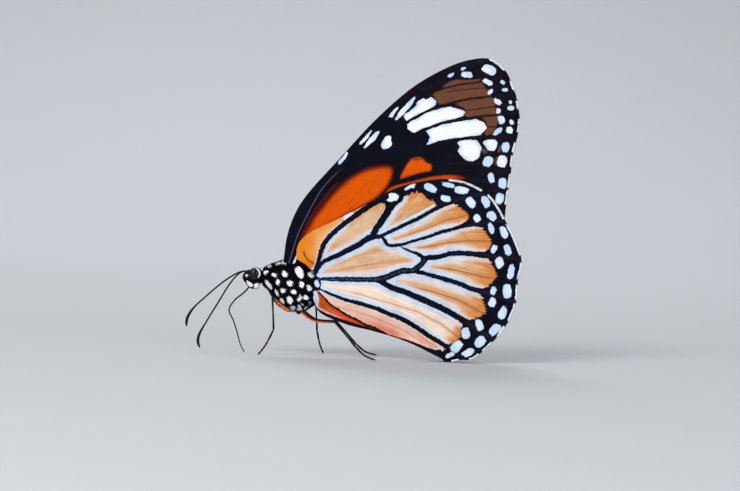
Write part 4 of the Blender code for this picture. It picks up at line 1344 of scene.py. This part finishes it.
def scatter(grid, count, weight=None):
    # places spread evenly over the skin, with the way out, the way back and the place on the unwrapped skin
    out, along = gridNormals(grid)
    rings, sides = grid.shape[:2]
    cell = np.linalg.norm(np.cross(np.roll(grid, -1, axis=1)[:-1] - grid[:-1], grid[1:] - grid[:-1]), axis=2)
    share = cell if weight is None else cell * weight(grid[:-1])
    pick = random.choice(share.size, count, p=(share / share.sum()).ravel())
    i, k = np.unravel_index(pick, share.shape)
    s, t = random.random(count)[:, None], random.random(count)[:, None]

    def between(field):
        low = (1 - t) * field[i, k] + t * field[i, (k + 1) % sides]
        high = (1 - t) * field[i + 1, k] + t * field[i + 1, (k + 1) % sides]
        return (1 - s) * low + s * high

    spread = np.column_stack([(i + s[:, 0]) / (rings - 1), (k + t[:, 0]) / sides])
    return between(grid), between(out), between(along), 0.02 + 0.955 * spread


def onSkin(lie, out):
    # the lie of the tufts, laid along the skin
    return unit(lie - out * np.sum(lie * out, axis=1)[:, None])


def scaleMaterial(name):
    material, tree, shader = newMaterial(name, 0.6, 0.08)
    ragged = times(tree, swing(tree, grain(tree, 0.25, 3.0)), 0.22)
    white = step(tree, plus(tree, carried(tree, "white"), ragged), -0.03, 0.04)
    dust = step(tree, grain(tree, 0.12, 1.0), 0.3, 0.7)
    black = mottled(tree, dust, body["black"], 1.0, 2.0)
    addColour(tree, shader, mixPaint(tree, white, black, mottled(tree, dust, body["white"], 0.9, 1.0)))
    addBump(tree, shader, dust, 0.02, 0.4)
    return material


def coatMaterial(name):
    # every tuft is lit like the skin at its root, so that the marks keep their shape
    material, tree, shader = newMaterial(name, 0.6, 0.04)
    tree.links.new(carried(tree, "rootNormal", "Vector"), shader.inputs["Normal"])
    streak = grain(tree, 0.2, 1.0)
    dark = mottled(tree, streak, body["black"], 0.7, 1.8)
    pale = mottled(tree, streak, body["white"], 0.95, 1.0)
    addColour(tree, shader, mixPaint(tree, carried(tree, "pale"), dark, pale))
    return material


bodySkinMaterial = scaleMaterial("bodyScales")
bodyHair = coatMaterial("bodyHair")


def giveNormals(piece, out, sideways):
    # the skin's way out at the root of every tuft, turned sideways by a share and not let point down
    nought = np.zeros(len(out))
    level = np.column_stack([out[:, 0], out[:, 1], np.maximum(out[:, 2], 0.0)])
    level /= np.linalg.norm(level, axis=1)[:, None] + 1e-6
    aside = np.column_stack([nought, np.sign(out[:, 1]), nought + coat["lightUp"]])
    full = np.repeat(blend(sideways, level, aside).astype(np.float32), tuftPoints, axis=0)
    piece.data.attributes.new("rootNormal", "FLOAT_VECTOR", "POINT").data.foreach_set("vector", full.ravel())


def makeCoat(name, tufts, pale, out, spread, sideways):
    # hair and scales as one piece; the pale ones catch the light from the side by a share
    points, faces = tufts
    piece = makePiece(name, points, faces, bodyHair, smooth=False)
    giveValues(piece, pale=perPoint(pale))
    giveNormals(piece, out, sideways * pale)
    patchMap(piece, spread)


eyeLow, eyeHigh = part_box("eye_left")
eyeMiddle = np.array((eyeLow + eyeHigh) / 2) / mm - shift
eyeReach = np.array((eyeHigh - eyeLow) / 2) / mm


def makeSkin():
    # the skin, and roots all over it for the coat, none of them in front of the eyes
    grid = bodyGrid()
    stands = ["head", "prothorax", "thorax", "abdomen"]
    skin = gridPiece("bodySkin", grid, bodySkinMaterial, stands)
    giveValues(skin, white=gridMarks(grid, body["spots"]))
    found = scatter(grid, coat["tufts"], lambda places: np.interp(places[..., 0], *coat["density"]))
    roots = found[0]
    toEye = np.hypot((roots[:, 0] - eyeMiddle[0]) / eyeReach[0], (roots[:, 2] - eyeMiddle[2]) / eyeReach[2])
    keep = (toEye > 1.02) | (np.abs(roots[:, 1]) < 0.2)
    return [values[keep] for values in found]


def makeBody():
    roots, out, back, spread = makeSkin()
    count, x = len(roots), roots[:, 0]
    pale = whiteMarks(roots, out, body["spots"]) + random.normal(0, 0.03, count) > 0.02
    hang = fade(x, -13.0, -11.5) * fade(x, -4.5, -6.5) * coat["hang"]
    lie = back - (0.0, 0.0, 1.0) * hang[:, None]
    lie[x < coat["faceFrom"]] = (-0.8, 0.0, 0.5)
    lie = onSkin(lie + random.normal(0, coat["stray"], (count, 3)), out)
    lengths = np.interp(x, *coat["length"]) * random.uniform(0.7, 1.15, count)
    lengths *= np.where(pale, coat["scaleLength"], 1.0)
    # hairs that would lie over a white mark are cut short
    ahead = whiteMarks(roots + lie * lengths[:, None] * 0.8, out, body["spots"])
    lengths *= np.where(~pale & (ahead > -0.05), 0.45, 1.0)
    widths = np.where(pale, coat["scaleWidth"], coat["hairWidth"]) * random.uniform(0.8, 1.2, count)
    flatLift = coat["scaleLift"] + random.normal(0, 2, count)
    lift = np.where(pale, flatLift, np.interp(x, *coat["lift"]) + random.normal(0, 6, count))
    settle = np.where(pale, 0.0, lift * 0.35 + random.normal(0, 5, count))
    hairThick, scaleThick = coat["thickness"]
    thick = np.where(pale, scaleThick, hairThick)[:, None]
    tufts = prismTufts(roots - out * 0.02, lie, out, np.cross(lie, out), lengths, widths, lift, settle, thick)
    makeCoat("bodyCoat", tufts, pale, out, spread, 0.9)


makeBody()
print("body ready")


# the head's own pieces

head = {
    "eyeFacets": 4,                          # how finely the eye is divided
    "facetDepth": 0.012,                     # how deep the grooves between the facets go
    "eyeColour": paint(22, 27, 60),
    "eyeBand": paint(7, 7, 12),
    "eyeBands": 7.5,                         # how close its upright dark bands stand
    "rimTufts": 260,
    "rimFrom": -40.0,                        # the white crescent behind the eye, degrees above straight back
    "rimTo": 72.0,
    "rimLength": 0.24,
    "rimWidth": 0.08,
    "palp": [(-13.55, 0.55, 9.85), (-14.55, 0.55, 9.75), (-15.2, 0.45, 10.25), (-15.5, 0.4, 10.95)],
    "palpWidthsAt": [0, 0.08, 0.22, 1, 2, 3],
    "palpWidths": [0.16, 0.30, 0.37, 0.34, 0.28, 0.12],
    "palpSpots": [(-14.9, 10.2, 1.3, 0.68, -58), (-13.75, 9.8, 0.9, 0.78, -88)],
    "palpHair": (700, 0.26, 0.07, 22),       # how many, length, width and lift
    "tongue": [
        (-14.8, 0, 10.0), (-15.4, 0, 9.05), (-17.1, 0, 7.45), (-17.75, 0, 6.1), (-17.1, 0, 4.7),
        (-16.5, 0, 3.1), (-15.9, 0, 1.2), (-15.3, 0, 0.15)],
    "tongueWidth": 0.10,
    "antennae": {
        "Left": [
            (-15.0, -0.35, 11.8), (-15.9, -0.5, 11.8), (-16.6, -0.65, 11.4), (-17.8, -1.0, 9.9),
            (-19.2, -1.6, 7.4), (-20.7, -2.4, 4.7), (-21.8, -2.9, 2.5), (-21.9, -3.1, 1.5),
            (-21.6, -3.2, 0.7)],
        "Right": [
            (-15.0, 0.35, 11.8), (-15.9, 0.6, 11.8), (-17.0, 1.0, 11.35), (-18.9, 1.9, 10.0),
            (-21.3, 3.1, 7.8), (-23.3, 4.2, 5.7), (-24.0, 4.6, 4.3), (-24.05, 4.7, 3.2)],
    },
    "shaft": 0.12,
    "club": 0.21,
    "clubFrom": (0.72, 0.90),                # the shares of the antenna where the club starts and is full
    "joints": 42,                            # rings along an antenna
    "jointSwell": 0.07,
    "firstJoint": 0.16,                      # the first one is round
    "horn": paint(16, 14, 17),
}

legs = {
    "routes": {                              # hip, middle of the thigh, knee, ankle, foot
        "midleg_left": [
            (-9.1, -1.2, 6.45), (-10.3, -2.1, 7.35), (-11.5, -3.0, 8.55), (-11.1, -4.0, 3.8),
            (-13.1, -4.6, 0.2)],
        "midleg_right": [
            (-7.9, 1.2, 6.1), (-6.6, 2.15, 6.75), (-5.3, 3.1, 7.5), (-5.0, 4.2, 3.4), (-4.0, 5.0, 0.2)],
        "hindleg_left": [
            (-7.2, -0.9, 6.3), (-5.4, -1.9, 5.25), (-2.35, -3.6, 5.2), (0.7, -4.6, 1.9), (3.5, -5.4, 0.2)],
        "hindleg_right": [
            (-7.0, 0.9, 6.3), (-5.2, 1.9, 5.2), (-2.3, 3.6, 5.0), (0.75, 4.6, 1.7), (3.7, 5.4, 0.2)],
    },
    "thigh": {"midleg": [0.30, 0.33, 0.30, 0.20, 0.15], "hindleg": [0.24, 0.24, 0.17, 0.14, 0.12]},
    "shin": [0.12, 0.15, 0.12, 0.15, 0.11],
    "foreleg": [(-12.0, 0.9, 9.4), (-11.45, 1.3, 8.4), (-10.85, 1.45, 7.7), (-10.35, 1.4, 7.1)],
    "forelegWidths": [0.22, 0.2, 0.1],
    "forelegHair": (260, 0.34, 0.06, 26),
    "bow": 0.06,                             # how far a shin bends up
    "sag": 0.35,                             # and a foot down
    "footJoints": [0, 0.45, 0.62, 0.75, 0.86, 1.0],
    "footWidth": (0.115, 0.035, 0.02),       # at its joints, how much more between them, how much it tapers
    "bristles": [(260, 0.20, 0.045, 18), (150, 0.18, 0.045, 24), (110, 0.15, 0.045, 34)],
    "claw": (0.42, 0.12, 18.0, -35.0),       # length, width, lift and settle
    # how strongly each thigh carries the painted reflection of orange light
    "glows": {"midleg_left": 1.0, "hindleg_left": 1.0},
    # how strongly each thigh is tinted dark red all over
    "rusts": {"hindleg_left": 0.8},
    "black": paint(12, 15, 32),
    "foot": paint(46, 22, 22),
    # the orange of that painted reflection
    "glow": paint(240, 128, 66),
    # the colour of that dark red tint
    "rust": paint(120, 34, 22),
}


def hornMaterial(name, colour):
    material, tree, shader = newMaterial(name, 0.42, 0.15)
    addColour(tree, shader, mottled(tree, grain(tree, 0.25), colour, 0.6, 1.7))
    addBump(tree, shader, grain(tree, 0.08), 0.01, 0.6)
    return material


def legMaterial():
    material, tree, shader = newMaterial("legScales", 0.55, 0.08)
    tone = mottled(tree, grain(tree, 0.2), legs["black"], 0.6, 1.8)
    tone = mixPaint(tree, carried(tree, "foot"), tone, legs["foot"])
    # some thighs are tinted dark red all over
    tone = mixPaint(tree, carried(tree, "rust"), tone, legs["rust"])
    # the painted reflection of orange light on the lower thighs, broken into speckles
    speckledReflection = times(tree, carried(tree, "glow"), step(tree, grain(tree, 0.32), 0.36, 0.46))
    addColour(tree, shader, mixPaint(tree, speckledReflection, tone, legs["glow"]))
    addBump(tree, shader, grain(tree, 0.08), 0.012, 0.7)
    return material


def eyeMaterial():
    material, tree, shader = newMaterial("eyeFacetGlass", 0.22, 0.25, coat=0.10)
    shader.inputs["Coat Roughness"].default_value = 0.12
    tone = mottled(tree, step(tree, carried(tree, "facet"), 0.25, 0.9), head["eyeColour"], 0.35, 1.0)
    band = step(tree, carried(tree, "band"), 0.2, 0.7)
    addColour(tree, shader, mixPaint(tree, band, tone, head["eyeBand"]))
    return material


def ball(level):
    # points and faces of a ball made of nearly equal triangles
    shape = bmesh.new()
    bmesh.ops.create_icosphere(shape, subdivisions=level, radius=1.0)
    points = np.array([vert.co for vert in shape.verts])
    faces = [[vert.index for vert in face.verts] for face in shape.faces]
    shape.free()
    return points, faces


def makeEyes(material):
    facets, _ = ball(head["eyeFacets"])
    points, faces = ball(head["eyeFacets"] + 2)
    batches = np.array_split(points, 12)     # a few at a time, to save memory
    closest = np.concatenate([(batch @ facets.T).max(axis=1) for batch in batches])
    gap = np.arccos(np.clip(closest, -1, 1))
    dome = 1 - (gap / gap.max()) ** 2
    shaped = points * (1 + head["facetDepth"] * (dome - 1))[:, None]
    bands = np.sin(head["eyeBands"] * (points[:, 0] - 0.25 * points[:, 2] ** 2))
    turn = np.arctan2(points[:, 2], points[:, 0]) / (2 * np.pi) + 0.5
    spread = 0.01 + 0.98 * np.column_stack([turn, 0.5 + 0.5 * points[:, 1]])
    for hand, sign in bothHands:
        places = (eyeMiddle + shaped * eyeReach) * (1, -sign, 1)
        turnedFaces = [face[::-sign] for face in faces]
        eye = makePiece("eye" + hand, places, turnedFaces, material, ["eye_" + hand.lower()])
        giveValues(eye, facet=dome, band=bands)
        giveMap(eye, "OFBake", spread)


def makeEyeRims():
    # a crescent of white scales behind each eye
    count = head["rimTufts"]
    low, high = np.radians(head["rimFrom"]), np.radians(head["rimTo"])
    share = np.sort(random.random(count))
    turn = low + (high - low) * share
    around = np.column_stack([0.86 * np.cos(turn), np.full(count, 0.51), 0.86 * np.sin(turn)])
    spread = np.column_stack([0.9 + 0.05 * share, 0.2 + 0.5 * share])
    for hand, sign in bothHands:
        roots = (eyeMiddle * (1, -1, 1) + around * eyeReach) * (1, sign, 1)
        out = unit(around / eyeReach * (1, sign, 1))
        lie = np.column_stack([np.cos(turn), np.full(count, -0.1 * sign), np.sin(turn)])
        lie = unit(lie + random.normal(0, 0.06, (count, 3)))
        across = unit(np.cross(lie, out))
        lengths = head["rimLength"] * (0.55 + 0.45 * np.sin(np.pi * share)) * random.uniform(0.85, 1.1, count)
        tufts = prismTufts(roots - 0.02 * out, lie, np.cross(across, lie), across, lengths,
                           np.full(count, head["rimWidth"]), np.full(count, 4.0), np.full(count, -4.0), 0.2)
        facing = np.tile([0.3, 0.9 * sign, 0.3], (count, 1))
        makeCoat("eyeRim" + hand, tufts, np.ones(count), facing, spread, 0.0)


def fuzz(grid, looks, spots=()):
    # tufts over a limb, lying along it
    count, length, width, lift = looks
    roots, out, along, spread = scatter(grid, count)
    lie = onSkin(along + random.normal(0, 0.14, (count, 3)), out)
    pale = np.zeros(count)
    if spots:
        pale = (whiteMarks(roots, out, spots) + random.normal(0, 0.03, count) > 0.0).astype(float)
    lengths = length * random.uniform(0.6, 1.15, count)
    widths = width * random.uniform(0.8, 1.2, count) * (1 + 0.6 * pale)
    lifts, settles = lift + random.normal(0, 6, count), 0.3 * lift + random.normal(0, 5, count)
    tufts = prismTufts(roots - out * 0.02, lie, out, np.cross(lie, out), lengths, widths, lifts, settles)
    return tufts, pale, out, spread


def makePalps():
    path = smoothRoute(head["palp"], 40)
    widths = np.interp(np.linspace(0, 3, 40), head["palpWidthsAt"], head["palpWidths"])
    for hand, sign in bothHands:
        grid = tubeGrid(path * (1, sign, 1), widths, 24)
        palp = gridPiece("palp" + hand, grid, bodySkinMaterial, ["palp_" + hand.lower()])
        giveValues(palp, white=gridMarks(grid, head["palpSpots"]))
        makeCoat("palpCoat" + hand, *fuzz(grid, head["palpHair"], head["palpSpots"]), 0.75)


def makeAntenna(name, route, material, stands):
    rings = head["joints"] * 5
    share = np.linspace(0, 1, rings)
    club = (head["club"] - head["shaft"]) * fade(share, *head["clubFrom"])
    girth = head["shaft"] + club - 0.10 * fade(share, 0.95, 1.0)
    girth = girth * (1 + head["jointSwell"] * (np.abs(np.sin(share * head["joints"] * np.pi)) - 0.5))
    girth += head["firstJoint"] * bell(share - 0.012, 0.012)
    girth[-1] *= 0.3
    gridPiece(name, tubeGrid(evenRoute(route, rings), girth, 14), material, stands)


def makeTongue(material):
    rings = 160
    path = evenRoute(head["tongue"], rings)
    path[:, 2] = np.maximum(path[:, 2], 0.14)
    share = np.linspace(0, 1, rings)
    girth = head["tongueWidth"] * (1.25 - 0.45 * share) * (1 + 0.03 * np.sin(share * 300))
    girth[-1] *= 0.4
    gridPiece("tongue", tubeGrid(path, girth, 16, 1.25), material, ["proboscis"])


def makeFeelers(material):
    for hand, route in head["antennae"].items():
        makeAntenna("antenna" + hand, route, material, ["antenna_" + hand.lower()])
    makeTongue(material)


def thighReflection(most, out, share):
    # painted reflection of orange light: it lies along the lower side and fades towards the knee
    return most * fade(-out[:, 2], -0.25, 0.15) * fade(share, 1.0, 0.6)


def limbPiece(name, path, girth, material, stands, foot=0.0, glow=0.0, rust=0.0):
    rings, sides = len(path), 16
    grid = tubeGrid(path, girth, sides)
    grid[..., 2] = np.maximum(grid[..., 2], 0.0)
    piece = gridPiece(name, grid, material, stands)
    share = np.repeat(np.linspace(0, 1, rings), sides)
    out, _ = gridNormals(grid)
    full = np.ones(rings * sides)
    giveValues(piece, foot=foot * full, glow=thighReflection(glow, out.reshape(-1, 3), share), rust=rust * full)
    return grid


def makeClaws(toe, middle):
    # two claws side by side, hooked down
    heading = unit(toe - middle)
    side = unit(np.cross(heading, (0, 0, 1.0)))
    ahead = np.array([heading + 0.5 * side, heading - 0.5 * side])
    length, width, lift, settle = (np.full(2, value) for value in legs["claw"])
    return prismTufts(np.array([toe, toe]), ahead, np.array([[0, 0, 1.0]] * 2), np.array([side, side]),
                      length, width, lift, settle)


def makeBristles(name, tufts, glow, material):
    # all the tufts of a leg as one piece
    starts = np.cumsum([0] + [len(points) for points, _ in tufts])
    points = np.vstack([points for points, _ in tufts])
    faces = np.vstack([faces + start for (_, faces), start in zip(tufts, starts)])
    points[:, 2] = np.maximum(points[:, 2], 0.0)
    bristles = makePiece(name, points, faces, material)
    full = np.ones(len(points))
    giveValues(bristles, foot=0.1 * full, glow=glow, rust=0.0 * full)
    place = np.linspace(0.01, 0.98, len(points) // tuftPoints)
    patchMap(bristles, np.column_stack([place, (place * 37) % 0.97]))


def makeLeg(name, route, material):
    plain = name.replace("_left", "Left").replace("_right", "Right")
    hip, thigh, knee, ankle, toe = (np.array(place, float) for place in route)
    glow, rust = legs["glows"].get(name, 0.0), legs["rusts"].get(name, 0.0)
    share = np.linspace(0, 1, 40)
    girth = np.interp(share, [0, 0.1, 0.45, 0.93, 1.0], legs["thigh"][name.split("_")[0]])
    path = evenRoute([hip, thigh, knee], 40)
    femur = limbPiece(plain + "Femur", path, girth, material, [name + "_femur"], 0.0, glow, rust)
    bow = np.array([0, 0, legs["bow"]])[None] * np.sin(share * np.pi)[:, None]
    path = knee + (ankle - knee) * share[:, None] + bow
    girth = np.interp(share, [0, 0.06, 0.5, 0.95, 1.0], legs["shin"])
    tibia = limbPiece(plain + "Tibia", path, girth, material, [name + "_tibia"], 0.1)
    middle = (ankle + toe) / 2 - (0, 0, legs["sag"])
    share = np.linspace(0, 1, 60)
    beads = np.abs(np.sin(np.pi * np.interp(share, legs["footJoints"], range(len(legs["footJoints"])))))
    slim, swell, taper = legs["footWidth"]
    girth = slim + swell * beads - taper * share
    path = evenRoute([ankle, middle, toe], 60)
    tarsus = limbPiece(plain + "Tarsus", path, girth, material, [name + "_tarsus"], 0.75)
    tufts, glows = [], []
    # the thigh's bristles carry the same painted reflection of orange light
    for grid, most, looks in zip((femur, tibia, tarsus), (glow, 0.0, 0.0), legs["bristles"]):
        some, _, out, spread = fuzz(grid, looks)
        tufts.append(some)
        glows.append(perPoint(thighReflection(most, out, spread[:, 0])))
    tufts.append(makeClaws(toe, middle))
    glows.append(perPoint([0, 0]))
    makeBristles(plain + "Bristles", tufts, np.concatenate(glows), material)


def makeLegs():
    material = legMaterial()
    for name, route in legs["routes"].items():
        makeLeg(name, route, material)
    path = evenRoute(legs["foreleg"], 50)
    girth = np.interp(np.linspace(0, 1, 50), [0, 0.5, 1], legs["forelegWidths"])
    for hand, sign in bothHands:
        grid = limbPiece("foreleg" + hand, path * (1, sign, 1), girth, material, ["foreleg_" + hand.lower()])
        makeCoat("forelegCoat" + hand, *fuzz(grid, legs["forelegHair"]), 0.0)


makeEyes(eyeMaterial())
makeEyeRims()
makePalps()
makeFeelers(hornMaterial("feelerHorn", head["horn"]))
print("head ready")
makeLegs()
print("legs ready")
